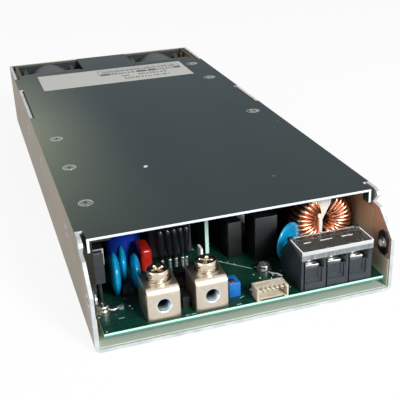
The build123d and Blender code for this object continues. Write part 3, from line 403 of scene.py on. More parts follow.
def make_lead_finish():
    """Sleeved lead whose end is dipped in solder: black above, bright below."""
    material, tree, shader, mm = start("sleeved_lead", "#15171a", 0.22, 0.0)
    x, y, z = parts_of(tree, mm)
    wave = noise(tree, mm, 3.0, 1.0)
    height = maths(tree, "ADD", z, maths(tree, "MULTIPLY", wave, 5.0))
    tin = ramp(tree, height, board_top + 18.5, board_top + 17.5)
    paint(shader, mixed(tree, tin, linear("#17191c"), linear("#d5d8d8")))
    tree.links.new(tin, shader.inputs["Metallic"])
    bump(tree, shader, noise(tree, mm, 1.6), 0.25, 0.6)
    return material


blue_sleeve = make_blue_sleeve()
black_sleeve = make_black_sleeve()
lead_finish = make_lead_finish()


# %% [markdown]
# ## Board laminate
# A circuit board is glass laminate under a green solder mask. Copper tracks show through the
# mask as slightly lighter lines and pads as bright dots, and the sawn edge is pale mint, where
# the glass scatters light. The pattern is drawn from stripes and cells at track pitch.

# %% Board
def make_board_laminate():
    material, tree, shader, mm = start("solder_mask_laminate", "#0b4a3c", 0.42, 0.0, Specular_IOR_Level=0.3)
    nx, ny, nz = facing(tree)
    flow = add(tree, "TexVoronoi", {"Vector": mm, "Scale": 1 / 9.0}, distance="MANHATTAN")
    area = ramp(tree, flow.outputs["Distance"], 0.25, 0.3)
    tracks = add(tree, "TexBrick", {
        "Vector": mm, "Color1": linear("#06291f"), "Color2": linear("#08372a"),
        "Mortar": linear("#0b4a38"), "Scale": 1.0, "Mortar Size": 0.25,
        "Brick Width": 7.0, "Row Height": 3.0,
    })
    mask = mixed(tree, maths(tree, "MULTIPLY", area, 0.6), linear("#062e23"), tracks.outputs[0])
    dots = add(tree, "TexVoronoi", {"Vector": mm, "Scale": 1 / 5.5})
    pad = ramp(tree, dots.outputs["Distance"], 0.09, 0.07)
    mask = mixed(tree, maths(tree, "MULTIPLY", pad, 0.8), mask, linear("#c9d2cc"))
    edge = ramp(tree, maths(tree, "ABSOLUTE", nz), 0.6, 0.4)
    x, y, z = parts_of(tree, mm)
    # The sawn edge is drawn lighter in its upper half and darker below.
    upper_edge_lighter = ramp(tree, z, board_top - 1.1, board_top - 0.7)
    sawn = mixed(tree, upper_edge_lighter, linear("#3f7f6c"), linear("#b4dccd"))
    paint(shader, mixed(tree, edge, mask, sawn))
    return material


def make_control_laminate():
    """The upright board: plain green with a pale sawn edge towards the front."""
    material, tree, shader, mm = start("upright_laminate", "#0a5a44", 0.35, 0.0)
    nx, ny, nz = facing(tree)
    tone = noise(tree, mm, 6.0, 2.0)
    mask = mixed(tree, ramp(tree, tone, 0.3, 0.7), linear("#07402f"), linear("#0c5c45"))
    edge = ramp(tree, maths(tree, "ABSOLUTE", nx), 0.6, 0.4)
    paint(shader, mixed(tree, edge, mask, linear("#bfe0dc")))
    return material


board_laminate = make_board_laminate()
control_laminate = make_control_laminate()


# %% [markdown]
# ## Clear plastic and thin film
# The terminal cover is clear moulded plastic: light goes through, and its edges and upper lip
# carry a painted highlight. The tray under the board is a thin milky film. Transmission is a
# constant on the shader's socket, and the film's milky look comes from mixing it with a diffuse share.

# %% Clear plastic, film and paper
def make_clear_plastic():
    material, tree, shader, mm = start("clear_moulding", "#bdb9b3", 0.02, 0.0,
                                       Transmission_Weight=0.93, IOR=1.03)
    return material


def make_clear_lip():
    """The cover's front lip seen edge on: a painted highlight along its upper rim, hazy below."""
    material, tree, shader, mm = start("clear_moulding_lip", "#9fa6a8", 0.25, 0.0,
                                       Transmission_Weight=0.5, IOR=1.1)
    x, y, z = parts_of(tree, mm)
    low, high = node_box("input_clear_cover")
    # Painted highlight: a near-white band along the lip's upper rim.
    rim = ramp(tree, z, float(high[2]) - 1.9, float(high[2]) - 1.5)
    haze = noise(tree, stretched(tree, mm, (1.0, 1.0, 0.25)), 1.5, 2.0)
    hazy = mixed(tree, ramp(tree, haze, 0.35, 0.65), linear("#878f91"), linear("#a9b0b2"))
    paint(shader, mixed(tree, rim, hazy, linear("#eef2f3")))
    return material


def make_film():
    material, tree, shader, mm = start("milky_film", "#d3d6c2", 0.35, 0.0, Transmission_Weight=0.08)
    x, y, z = parts_of(tree, mm)
    cloud = noise(tree, stretched(tree, mm, (0.4, 1, 1)), 14.0, 3.0)
    tray = mixed(tree, ramp(tree, cloud, 0.3, 0.7), linear("#a5b8a8"), linear("#bbc9b9"))
    wall = mixed(tree, ramp(tree, z, 18.0, 34.0), linear("#c9c1a6"), linear("#d0a884"))
    paint(shader, mixed(tree, ramp(tree, z, 3.0, 9.0), tray, wall))
    return material


def make_label_paper():
    """Pale grey film label; its print is generic rules and bars, with no words."""
    material, tree, shader, mm = start("label_film", "#b7b7b3", 0.5, 0.0)
    fibre = noise(tree, mm, 1.2, 2.0)
    paint(shader, mixed(tree, ramp(tree, fibre, 0.3, 0.7), linear("#b2b2ae"), linear("#bcbcb9")))
    return material


def make_ink():
    material, tree, shader, mm = start("label_ink", "#2b2e30", 0.5, 0.0)
    worn = noise(tree, mm, 0.8, 2.0)
    paint(shader, mixed(tree, ramp(tree, worn, 0.35, 0.6), linear("#23282a"), linear("#4a4f50")))
    return material


clear_plastic = make_clear_plastic()
film_finish = make_film()
label_paper = make_label_paper()
label_ink = make_ink()
print("materials", len(bpy.data.materials))


# %% [markdown]
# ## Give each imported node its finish
# Nodes whose shape is right keep their own mesh and only take a material.

# %% Assign materials to nodes
def wear(material, *names):
    """Put one material on these nodes."""
    for name in names:
        mesh = nodes[name].data
        mesh.materials.clear()
        mesh.materials.append(material)


finish_of = {
    chassis_sheet: ["chassis"],
    lid_sheet: ["top_cover"],
    nickel_plate: ["output_block_left", "output_block_right", "output_screw_left",
                   "output_screw_right"],
    washer_steel: ["output_washers"],
    lid_zinc: ["casing_screws"],
    bright_zinc: ["mounting_nuts", "board_standoffs", "board_screws",
                  "block_anchor_screws", "input_screw_1", "input_screw_2", "input_screw_3",
                  "fan_screws"],
    tinned: ["earth_lugs", "input_contact_bars", "header_pins", "device_clips"],
    tin_painted_highlight: ["input_clamp_plates"],
    brass: ["trimmer_screw"],
    heatsink_painted_shade: ["heatsink_left", "heatsink_right"],
    copper: ["choke_windings", "transformer_winding", "fan_coils"],
    dark_enamel: ["boost_choke", "second_filter_choke"],
    black_plastic: ["side_nut_plates", "control_chips", "box_capacitors", "bridge_rectifier"],
    dark_plastic: ["input_terminal_block"],
    package_plastic: ["output_rectifiers", "power_switches"],
    cream_plastic: ["signal_header", "fan_headers"],
    white_plastic: ["choke_divider", "input_fuse"],
    trimmer_plastic: ["trimmer_body"],
    fan_plastic: ["fan_left_frame", "fan_right_frame", "fan_left_rotor", "fan_right_rotor"],
    ferrite: ["output_choke_core", "choke_core", "transformer_core", "standby_transformer"],
    blue_dip: ["disc_capacitors"],
    red_dip: ["film_capacitor"],
    blue_sleeve: ["filter_capacitor"],
    black_sleeve: ["bulk_capacitors", "output_capacitors"],
    lead_finish: ["output_choke_leads"],
    board_laminate: ["main_board"],
    control_laminate: ["control_board"],
    clear_plastic: ["input_clear_cover"],
    film_finish: ["insulating_film"],
    label_paper: ["blank_label"],
}
for material, names in finish_of.items():
    wear(material, *names)
unfinished = set(nodes) - {n for names in finish_of.values() for n in names}
print("nodes without a finish", sorted(unfinished))

# %% [markdown]
# ## Crisp moulded and cut pieces
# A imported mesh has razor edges. Real moulded or machined edges are rounded by a tenth or two of
# a millimetre, and each catches a thin line of light. A crisp copy of a node joins its facets
# into whole faces and gives every hard edge a small bevel; the node itself stays as it is.

# %% Crisp copies
def crisp(name, material, width, edge_material=None, front_material=None, rolled=1.0):
    """A copy of a node with its hard edges bevelled; it replaces the node.

    rolled above 1 makes the fillet along the top front edge that many times as large.
    """
    mesh = bpy.data.meshes.new(name + "_crisp")
    shape = bmesh.new()
    shape.from_mesh(nodes[name].data)
    bmesh.ops.remove_doubles(shape, verts=shape.verts, dist=1e-6)
    flat_angle = math.radians(1.0)
    bmesh.ops.dissolve_limit(shape, angle_limit=flat_angle, verts=shape.verts, edges=shape.edges)
    if rolled > 1:
        low, high = node_box(name)
        fillet_room = 1.25
        for vertex in shape.verts:
            into, down = vertex.co.y / MM - low[1], high[2] - vertex.co.z / MM
            if into < fillet_room and down < fillet_room:
                vertex.co.y = (low[1] + into * rolled) * MM
                vertex.co.z = (high[2] - down * rolled) * MM
    shape.to_mesh(mesh)
    shape.free()
    mesh.materials.append(material)
    if edge_material:
        mesh.materials.append(edge_material)
    if front_material:
        mesh.materials.append(front_material)
        normals = np.zeros(len(mesh.polygons) * 3, np.float32)
        mesh.polygons.foreach_get("normal", normals)
        fronts = np.where(normals.reshape(-1, 3)[:, 1] < -0.9, 2, 0).astype(np.int32)
        mesh.polygons.foreach_set("material_index", fronts)
    mesh.shade_smooth()
    piece = bpy.data.objects.new(name + "_crisp", mesh)
    bpy.context.scene.collection.objects.link(piece)
    bevel = piece.modifiers.new("edge", "BEVEL")
    bevel.width = width * MM
    bevel.segments = 2
    bevel.limit_method = "ANGLE"
    bevel.angle_limit = math.radians(35)
    bevel.harden_normals = True
    if edge_material:
        bevel.material = 1
    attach(piece, body_of_node[name])
    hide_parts(name)
    return piece


# Painted highlight: the clear cover's bevels and edge lines wear a near-white moulding.
clear_edge_highlight = moulded("clear_moulding_painted_highlight", "#eef4f6", "#ffffff", 0.25)
clear_lip = make_clear_lip()
crisp("input_terminal_block", dark_plastic, 0.18)
crisp("input_clear_cover", clear_plastic, 0.3, clear_edge_highlight, clear_lip)
crisp("signal_header", cream_plastic, 0.12)
crisp("trimmer_body", trimmer_plastic, 0.15)
crisp("box_capacitors", black_plastic, 0.2)
crisp("output_block_left", nickel_plate, 0.15, rolled=2.3)
crisp("output_block_right", nickel_plate, 0.15, rolled=2.3)
# The clamp plates wear the white painted highlight over their tin.
crisp("input_clamp_plates", tin_painted_highlight, 0.1)
crisp("output_washers", washer_steel, 0.12)

# %% [markdown]
# ## Wire, swept along many paths at once
# Windings, arched leads and soldered tails are all round wire along a flat path. One function
# sweeps a circle along any number of such paths with array arithmetic: at each point the tangent
# and the path's own fixed normal give the two directions that carry the circle.

# %% Wire
def new_piece(name, points, faces, material, body):
    """A smooth mesh object from arrays in millimetres, riding on a body."""
    mesh = bpy.data.meshes.new(name)
    mesh.from_pydata((np.asarray(points) * MM).tolist(), [], [list(face) for face in faces])
    mesh.materials.append(material)
    mesh.shade_smooth()
    piece = bpy.data.objects.new(name, mesh)
    bpy.context.scene.collection.objects.link(piece)
    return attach(piece, body)


def grid_faces(rows, columns, close_rows, close_columns):
    """Quads over a grid of points, wrapped round in either direction."""
    last_row = rows if close_rows else rows - 1
    last_column = columns if close_columns else columns - 1
    i, j = np.meshgrid(np.arange(last_row), np.arange(last_column), indexing="ij")
    down, along = (i + 1) % rows, (j + 1) % columns
    corners = (i * columns + j, i * columns + along, down * columns + along, down * columns + j)
    return np.stack(corners, -1).reshape(-1, 4)


def swept(paths, normals, radii, closed, sides=12):
    """Points and faces of round wires. paths is (wires, points, 3), normals (wires, 3)."""
    wires, count, _ = paths.shape
    if closed:
        ahead, behind = np.roll(paths, -1, 1), np.roll(paths, 1, 1)
    else:
        ahead = np.concatenate([paths[:, 1:], paths[:, -1:]], 1)
        behind = np.concatenate([paths[:, :1], paths[:, :-1]], 1)
    tangent = ahead - behind
    tangent /= np.linalg.norm(tangent, axis=-1, keepdims=True)
    flat = np.broadcast_to(normals[:, None], paths.shape)
    side = np.cross(tangent, flat)
    turn = np.linspace(0, 2 * np.pi, sides, endpoint=False)
    circle = np.cos(turn)[:, None] * side[:, :, None] + np.sin(turn)[:, None] * flat[:, :, None]
    radii = np.broadcast_to(radii, (wires, count))
    points = paths[:, :, None] + radii[:, :, None, None] * circle
    one = grid_faces(count, sides, closed, True)[:, ::-1]
    starts = np.arange(wires)[:, None] * count * sides
    faces = (one[None] + starts[:, :, None]).reshape(-1, 4).tolist()
    if not closed:
        ring = np.arange(sides)[None]
        faces += (starts + ring).tolist()
        faces += (starts + (count - 1) * sides + ring[:, ::-1]).tolist()
    return points.reshape(-1, 3), faces


def boxes_piece(name, boxes, material, body, turned=0.0):
    """Axis-aligned boxes (x0, x1, y0, y1, z0, z1) as one flat-shaded piece with sharp edges, each turned in
    place.
    """
    corners = np.array([(i, j, k) for k in (0, 1) for j in (0, 1) for i in (0, 1)])
    faces = np.array([(0, 2, 3, 1), (4, 5, 7, 6), (0, 1, 5, 4), (2, 6, 7, 3), (0, 4, 6, 2), (1, 3, 7, 5)])
    box = np.array(boxes, float).reshape(-1, 3, 2)
    points = np.take_along_axis(box[:, None], corners[None, :, :, None], 3)[..., 0]
    middle = box[:, :2].mean(-1)
    angle = np.broadcast_to(np.radians(turned), len(box))
    c, s = np.cos(angle)[:, None], np.sin(angle)[:, None]
    dx = points[:, :, 0] - middle[:, :1]
    dy = points[:, :, 1] - middle[:, 1:]
    points[:, :, 0] = middle[:, :1] + c * dx - s * dy
    points[:, :, 1] = middle[:, 1:] + s * dx + c * dy
    every = faces[None] + (np.arange(len(box)) * 8)[:, None, None]
    piece = new_piece(name, points.reshape(-1, 3), every.reshape(-1, 4), material, body)
    piece.data.shade_flat()
    return piece


# %% [markdown]
# ## The input choke's windings
# Two rows of thick enamelled turns on a ring, one on each side of the white divider. The turns
# crowd at the hole, so every second one lies a little further out there, as hand-wound wire does.

# %% Choke windings
def make_choke_turns():
    low, high = node_box("choke_windings")
    centre = (low + high) / 2
    outer = (high[2] - low[2]) / 2
    if high[0] - low[0] > high[2] - low[2]:
        outer = (high[0] - low[0]) / 2
    half_depth = (high[1] - low[1]) / 2
    turns = 13
    step = np.radians(10.8)
    wire = 0.86
    fan = (np.arange(turns) - (turns - 1) / 2) * step
    angles = np.concatenate([fan, fan + np.pi])
    odd = np.tile(np.arange(turns) % 2, 2)
    rng = np.random.default_rng(5)
    angles = angles + rng.normal(0, 0.01, angles.shape)
    inner = outer * 0.22 + wire + 1.1 * odd
    reach = outer - wire
    middle, half = (inner + reach) / 2, (reach - inner) / 2
    t = np.linspace(0, 2 * np.pi, 40, endpoint=False)
    power = 0.62
    across = np.sign(np.cos(t)) * np.abs(np.cos(t)) ** power
    deep = np.sign(np.sin(t)) * np.abs(np.sin(t)) ** power
    radial = middle[:, None] + half[:, None] * across
    near_hole = np.clip((-across + 0.2) / 1.2, 0, 1)
    lift = 1 - 0.09 * near_hole * (1 - odd[:, None])
    depth = (half_depth - wire) * deep * lift
    lean = 0.035 * np.sin(t)[None] * np.ones((len(angles), 1))
    ray = angles[:, None] + lean
    paths = np.stack([
        centre[0] + radial * np.cos(ray),
        centre[1] + depth,
        centre[2] + radial * np.sin(ray),
    ], -1)
    normals = np.stack([-np.sin(angles), np.zeros(len(angles)), np.cos(angles)], -1)
    points, faces = swept(paths, normals, np.array(wire), True, 14)
    windings = new_piece("choke_turns", points, faces, copper, body_of_node["choke_windings"])
    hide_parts("choke_windings")


def make_divider_wedge():
    """White plate between the two windings: a thin strip that flares where the turns part."""
    low, high = node_box("choke_divider")
    middle = (low[0] + high[0]) / 2 - 2.0
    front, back = node_box("choke_core")[0][1] - 0.7, high[1]
    top = float(high[2]) - 0.3
    half_widths = np.array([(0.7, board_top + 1.0), (0.75, 24.2), (2.2, 27.0), (4.4, 31.5), (4.6, top)])
    outline = np.concatenate([half_widths * (-1, 1), half_widths[::-1]])
    strip = [(middle - 0.6, middle + 0.6, front + 0.4, front + 6.0, board_top + 1.0, 24.0)]
    foot = [(low[0], high[0], low[1], back, board_top, board_top + 0.9)]
    wedge = boxes_piece("divider_strip", strip + foot, divider_white, body_of_node["choke_divider"])
    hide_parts("choke_divider")
    count = len(outline)
    points = [(middle + x, y, z) for y in (front, front + 0.5) for x, z in outline]
    mesh = bpy.data.meshes.new("divider_wedge")
    loop = list(range(count))
    faces = [loop[::-1], [count + i for i in loop]]
    faces += [[i, (i + 1) % count, count + (i + 1) % count, count + i] for i in loop]
    mesh.from_pydata((np.array(points) * MM).tolist(), [], faces)
    mesh.materials.append(divider_white)
    flare = bpy.data.objects.new("divider_wedge", mesh)
    bpy.context.scene.collection.objects.link(flare)
    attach(flare, body_of_node["choke_divider"])


divider_white = moulded("divider_board", "#d9d3c6", "#e9e4d8", 0.5)
make_choke_turns()
make_divider_wedge()


# %% [markdown]
# ## Dipped discs
# Four disc capacitors, each a coin dipped in epoxy: thin towards the rim, with the dip running a
# little way down both wires. Three stand side by side at the left, one behind the input block.

# %% Dipped discs
def make_dipped_discs():
    discs = [
        (8.4, 4.2, (-48.6, -119.7, 9.8), -5.0, 2.5), (7.6, 4.0, (-43.6, -109.5, 7.9), -5.0, 2.5),
        (7.1, 4.0, (-39.6, -117.0, 7.6), -5.0, 2.5), (8.6, 3.2, (27.6, -121.2, 10.0), 122.0, 4.6),
    ]
    t = np.linspace(0, np.pi, 30)
    around = np.linspace(0, 2 * np.pi, 72, endpoint=False)
    body = body_of_node["disc_capacitors"]
    points, faces, wires, flat = [], [], [], []
    for radius, thickness, (x, y, height), turn, lead_half in discs:
        angle = math.radians(turn)
        normal = np.array([math.cos(angle), math.sin(angle), 0.0])
        level = np.array([-math.sin(angle), math.cos(angle), 0.0])
        up = np.array([0.0, 0.0, 1.0])
        r = radius * np.abs(np.sin(t)) ** 0.8
        w = thickness / 2 * np.cos(t)
        ring = np.cos(around)[:, None] * level + np.sin(around)[:, None] * up
        skirt = 1 + 0.16 * np.exp(-((np.sin(around) + 1) / 0.12) ** 2)
        middle = np.array([x, y, board_top + height])
        coat = middle + w[:, None, None] * normal + (r[:, None] * skirt)[:, :, None] * ring
        one = grid_faces(len(t), len(around), False, True)[:, ::-1]
        faces.append(one + len(t) * len(around) * len(points))
        points.append(coat.reshape(-1, 3))
        for sign in (-1, 1):
            foot = middle + sign * lead_half * level
            ends = [foot - up * height * share for share in np.linspace(0.4, 1.0, 6)]
            wires.append(ends)
            flat.append(normal)
    coats = new_piece("disc_coats", np.concatenate(points), np.concatenate(faces), blue_dip, body)
    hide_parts("disc_capacitors")
    thick = np.linspace(0.75, 0.4, 6) ** 1.5
    points, faces = swept(np.array(wires), np.array(flat), thick, False, 10)
    new_piece("disc_leads", points, faces, tinned, body)


make_dipped_discs()


# %% [markdown]
# ## The output choke's leads
# Five heavy turns arch forward from a bar core behind the red capacitor. Each is black sleeving
# over copper down to where it was dipped in solder, and a thinner tail, painted white as a
# highlight over its tin, goes on down to the board.

# %% Arched leads
def make_arched_leads():
    low, high = node_box("output_choke_leads")
    core_low, core_high = node_box("output_choke_core")
    places = np.linspace(low[0] + 1.0, high[0] - 1.0, 5)
    top = core_high[2] - 2.4
    front_line = core_low[1] - 10.0
    back_line = core_low[1] + 0.5
    rng = np.random.default_rng(11)
    bend = np.linspace(0, np.pi / 2, 12)
    reach = back_line - front_line
    arc_y = back_line - reach * np.sin(bend)
    fall = 5.0
    arc_z = top - fall * (1 - np.cos(bend))
    tail_start = board_top + 4.5
    down = np.linspace(top - fall, tail_start, 5)[1:]
    y = np.concatenate([[back_line + 2.0], arc_y, np.full(len(down), front_line)])
    z = np.concatenate([[top], arc_z, down])
    sleeves = np.zeros((5, len(y), 3))
    sleeves[:, :, 0] = places[:, None] + rng.normal(0, 0.12, (5, 1))
    sleeves[:, :, 1] = y
    sleeves[:, :, 2] = z
    drop = np.clip((top - z) / 20.0, 0, 1)
    sleeves[:, :, 0] += drop * rng.normal(0.3, 0.5, (5, 1))
    sleeves[:, :, 0] -= 3.2 * (y - front_line) / (y[0] - front_line)
    normals = np.tile([1.0, 0.0, 0.0], (5, 1))
    thick = np.full(len(y), 1.35)
    thick[-2:] = (1.05, 0.65)
    points, faces = swept(sleeves, normals, thick, False, 16)
    body = body_of_node["output_choke_leads"]
    sleeve = new_piece("lead_sleeves", points, faces, sleeve_black, body)
    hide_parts("output_choke_leads")
    ends = np.linspace(0, 1, 14)
    tails = np.zeros((5, len(ends), 3))
    last = sleeves[:, -1]
    tails[:] = last[:, None]
    tails[:, :, 2] = last[:, None, 2] + (board_top - 0.2 - last[:, None, 2]) * ends
    wave = rng.normal(0, 0.25, (5, 1)) * np.sin(ends * np.pi)
    tails[:, :, 0] += wave
    blobs = 0.55 + 0.25 * np.exp(-((ends - 0.02) / 0.08) ** 2) + 0.15 * np.sin(ends * 9) ** 2
    points, faces = swept(tails, normals, blobs, False, 12)
    # The tails wear the white painted highlight over tin.
    new_piece("lead_tails", points, faces, tin_painted_highlight, body)


sleeve_black = moulded("lead_sleeving", "#121417", "#1c1f23", 0.16, 1.5, 0.1)
make_arched_leads()


# %% [markdown]
# ## The output screws
# Large pan heads with a dished top and a cross recess. The head is a polar height field: a rim,
# a shallow dish, and two crossed trenches with sloping walls.

# %% Dished heads
def make_dished_head(node, turned):
    low, high = node_box(node)
    centre = (low + high) / 2
    radius = (high[0] - low[0]) / 2
    top = high[2]
    base = node_box("output_washers")[1][2]
    wall = np.array([(0.0, base), (0.97, base), (1.0, base + 0.25), (1.0, top - 0.75), (0.96, top - 0.25),
                     (0.88, top), (0.82, top - 0.04)])
    dish = np.linspace(0.78, 0.0, 34)
    shares = np.concatenate([wall[:, 0], dish])
    levels = np.concatenate([wall[:, 1], top - 0.5 * (1 - (dish / 0.82) ** 2)])
    around = np.linspace(0, 2 * np.pi, 144, endpoint=False)
    r = shares[:, None] * radius * np.ones(len(around))
    u, v = r * np.cos(around), r * np.sin(around)
    off_axis = np.minimum(np.abs(u), np.abs(v))
    along = np.maximum(np.abs(u), np.abs(v))
    arm, half_width, depth = 0.62 * radius, 0.62, 1.5
    wall_slope = np.clip((half_width - off_axis) / 0.3, 0, 1)
    end_slope = np.clip((arm - along) / 0.5, 0, 1)
    recess = depth * wall_slope * end_slope
    recess[:len(wall)] = 0
    z = levels[:, None] - recess
    spin = math.radians(turned)
    points = np.stack([
        centre[0] + u * math.cos(spin) - v * math.sin(spin),
        centre[1] + u * math.sin(spin) + v * math.cos(spin),
        z,
    ], -1)
    faces = grid_faces(len(shares), len(around), False, True)
    head = new_piece(node + "_head", points.reshape(-1, 3), faces, screw_nickel, body_of_node[node])
    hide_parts(node)


screw_nickel = brushed_metal("turned_nickel_plate", "#ece1cf", "#c4b49b", 0.22, (1.0, 1.0, 6.0), 0.004)
make_dished_head("output_screw_left", 20.0)
make_dished_head("output_screw_right", 62.0)

# %% [markdown]
# ## Small pieces on the board and the lid
# Short soldered tails, a silk line, small dark components and solder glints keep a board from
# looking bare. On the lid, a thin bright ring round each screw is a painted highlight on the rim
# of its pressed dimple.

# %% Small pieces
def make_board_details():
    body = body_of_node["main_board"]
    z = board_top
    chips = [
        (-46.5, -43.5, -129.5, -127.0, z, z + 2.0), (-41.0, -38.6, -131.5, -127.5, z, z + 1.6),
        (-36.5, -33.5, -128.5, -126.5, z, z + 2.2), (-44.5, -42.5, -124.5, -121.5, z, z + 1.4),
        (-38.5, -36.0, -123.8, -121.3, z, z + 1.8), (-31.5, -28.5, -125.5, -123.0, z, z + 2.0),
        (-30.0, -27.5, -119.5, -117.0, z, z + 2.6), (-46.8, -42.6, -124.6, -120.6, z, z + 4.2),
        (-26.4, -23.6, -140.5, -133.5, z, z + 5.0), (-25.4, -22.4, -131.5, -126.5, z, z + 6.2),
        (-24.0, -20.0, -124.5, -119.5, z, z + 7.0),
    ]
    turns = np.array([8, -5, 12, 3, -9, 6, 14, 0, 2, -4, 6])
    boxes_piece("board_chips", chips, black_plastic, body, turns)
    marks = [
        (-4.0, 13.0, -115.35, -114.95, z, z + 0.02), (-52.0, -49.6, -138.6, -138.2, z, z + 0.02),
        (-24.6, -22.6, -146.0, -145.6, z, z + 0.02), (-27.0, -25.2, -146.0, -145.6, z, z + 0.02),
        (-2.8, -0.6, -141.4, -141.0, z, z + 0.02), (-5.6, -3.6, -146.0, -145.6, z, z + 0.02),
    ]
    boxes_piece("silk_marks", marks, silk_ink, body, np.array([-45, 0, 0, 0, 20, 0]))
    rng = np.random.default_rng(3)
    spots = rng.uniform((-52, -138, 0), (20, -108, 0), (26, 3))
    spots[:, 2] = z
    free = np.ones(len(spots), bool)
    for name in ("output_block_left", "output_block_right", "signal_header", "trimmer_body"):
        low, high = node_box(name)
        free &= ~((spots[:, 0] > low[0] - 1) & (spots[:, 0] < high[0] + 1)
                  & (spots[:, 1] > low[1] - 1) & (spots[:, 1] < high[1] + 1))
    spots = spots[free]
    rise = np.array([0.0, 0.15, 0.32, 0.45])
    width = np.array([0.62, 0.5, 0.28, 0.03])
    paths = spots[:, None] + np.stack([rise * 0, rise * 0, rise], -1)[None]
    upright = np.tile([1.0, 0.0, 0.0], (len(spots), 1))
    points, faces = swept(paths, upright, width[None], False, 10)
    new_piece("solder_points", points, faces, tinned, body)
    tab = [(-10.9, -9.9, -116.5, -112.0, z, 19.0), (-11.2, -9.6, -117.5, -111.5, z, z + 5.0)]
    boxes_piece("upright_tab", tab, white_plastic, body)


def make_lug_tails():
    """Round wire tails from the two lugs: bright, curving along the board to their joints."""
    body = body_of_node["earth_lugs"]
    z = board_top + 0.75
    left = np.array([(-56.0, -128.6, z + 0.4), (-55.0, -132.0, z + 0.5), (-52.6, -133.0, z + 0.3),
                     (-50.4, -132.0, z + 0.5), (-48.4, -130.4, z + 0.3)])
    right = np.array([(15.2, -125.0, z + 0.6), (14.9, -127.6, z + 0.8), (16.2, -129.8, z + 0.4),
                      (18.2, -131.0, z + 0.3), (19.9, -132.6, z - 0.3)])
    t = np.linspace(0, 4, 33)
    paths = []
    for line in (left, right):
        at = np.clip(t.astype(int), 0, 3)
        f = (t - at)[:, None]
        before, one = line[np.maximum(at - 1, 0)], line[at]
        two, after = line[at + 1], line[np.minimum(at + 2, 4)]
        paths.append(0.5 * (2 * one + (two - before) * f
                            + (2 * before - 5 * one + 4 * two - after) * f ** 2
                            + (3 * one - before - 3 * two + after) * f ** 3))
    up = np.tile([0.0, 0.0, 1.0], (2, 1))
    points, faces = swept(np.array(paths), up, np.array(0.55), False, 12)
    new_piece("lug_tails", points, faces, tinned, body)


def make_lid_rim_highlights():
    """A thin bright ring round each screw in the lid: a painted highlight on its dimple's rim."""
    co = np.array([v.co for v in nodes["casing_screws"].data.vertices]) / MM
    top = co[co[:, 2] > case_high[2] - 0.3][:, :2]
    cell = np.round(top / 8.0).astype(int)
    centres = []
    for key in np.unique(cell, axis=0):
        group = top[(np.abs(top / 8.0 - key) < 0.9).all(1)]
        middle = (group.min(0) + group.max(0)) / 2
        if all(np.hypot(*(middle - other)) > 4 for other in centres):
            centres.append(middle)
    t = np.linspace(0, 2 * np.pi, 48, endpoint=False)
    rings = np.array(centres)[:, None] + 3.05 * np.stack([np.cos(t), np.sin(t)], -1)[None]
    paths = np.concatenate([rings, np.full((*rings.shape[:2], 1), case_high[2] - 0.06)], -1)
    up = np.tile([0.0, 0.0, 1.0], (len(centres), 1))
    points, faces = swept(paths, up, np.array(0.13), True, 8)
    new_piece("lid_screw_rim_highlights", points, faces, tinned, body_of_node["casing_screws"])
    print("lid screws", len(centres))


def make_label_print():
    """Generic print: a ruled table and bars that stand for lines of text; it says nothing."""
    low, high = node_box("blank_label")
    body = body_of_node["blank_label"]
    paper_top = high[2] - 0.03
    paper = boxes_piece("label_paper", [(low[0], high[0], low[1], high[1], low[2], paper_top)],
                        label_paper, body)
    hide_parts("blank_label")
    z0, z1 = paper_top - 0.01, high[2] - 0.005
    x0, x1, y0, y1 = -10.6, 44.2, 95.4, 106.4
    rules = [(x0, x1, y1 - 0.3, y1, z0, z1), (x0, x0 + 0.4, y0, y1, z0, z1),
             (x1 - 0.4, x1, y0 + 2.0, y1, z0, z1), (x0, x1, y0 - 0.3, y0 + 0.2, z0, z1)]
    dark = [(a, b, y0 - 1.4, y0 + 2.8, z0, z1)
            for a, b in ((-9.8, -3.4), (14.2, 20.8), (22.0, 27.4), (39.6, 44.0))]
    rng = np.random.default_rng(8)
    bars = []
    rows = ((y0 - 1.2, -2.4, 13.4, 4.0, 1.2), (y0 - 1.2, 28.4, 38.8, 4.0, 1.2),
            (y0 + 4.4, -8.0, 42.0, 5.4, 0.6), (87.4, 3.0, 8.6, 3.8, 0.9),
            (87.6, 14.0, 33.5, 3.8, 0.9), (81.0, 3.6, 33.0, 3.8, 0.9))
    for y, a, b, tall, wide in rows:
        x = a
        while x < b:
            stroke = wide * rng.uniform(0.5, 1.4)
            bars.append((x, min(x + stroke, b), y, y + tall * rng.uniform(0.6, 1.0), z0, z1))
            x += stroke + wide * rng.uniform(0.5, 1.6)
    boxes_piece("label_print", rules + dark + bars, label_ink, body)


def make_lip_marks():
    """Small raised white triangles on the cover's front lip, one above each clamp."""
    low, high = node_box("input_clear_cover")
    plate_low, plate_high = node_box("input_clamp_plates")
    middles = (plate_low[0] + plate_high[0]) / 2 + np.array([-1, 0, 1]) * 10.05
    front, back = low[1] + 0.02, low[1] + 0.3
    z0, z1 = low[2] + 0.1, low[2] + 2.6
    points = []
    for x in middles:
        for y in (front, back):
            points += [(x - 0.95, y, z0), (x + 0.95, y, z0), (x, y, z1)]
    one = [(0, 1, 2, 2), (5, 4, 3, 3), (0, 3, 4, 1), (1, 4, 5, 2), (2, 5, 3, 0)]
    faces = [[n * 6 + i for i in dict.fromkeys(face)] for n in range(3) for face in one]
    mesh = bpy.data.meshes.new("lip_marks")
    mesh.from_pydata((np.array(points) * MM).tolist(), [], faces)
    mesh.materials.append(white_plastic)
    piece = bpy.data.objects.new("lip_marks", mesh)
    bpy.context.scene.collection.objects.link(piece)
    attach(piece, body_of_node["input_clear_cover"])


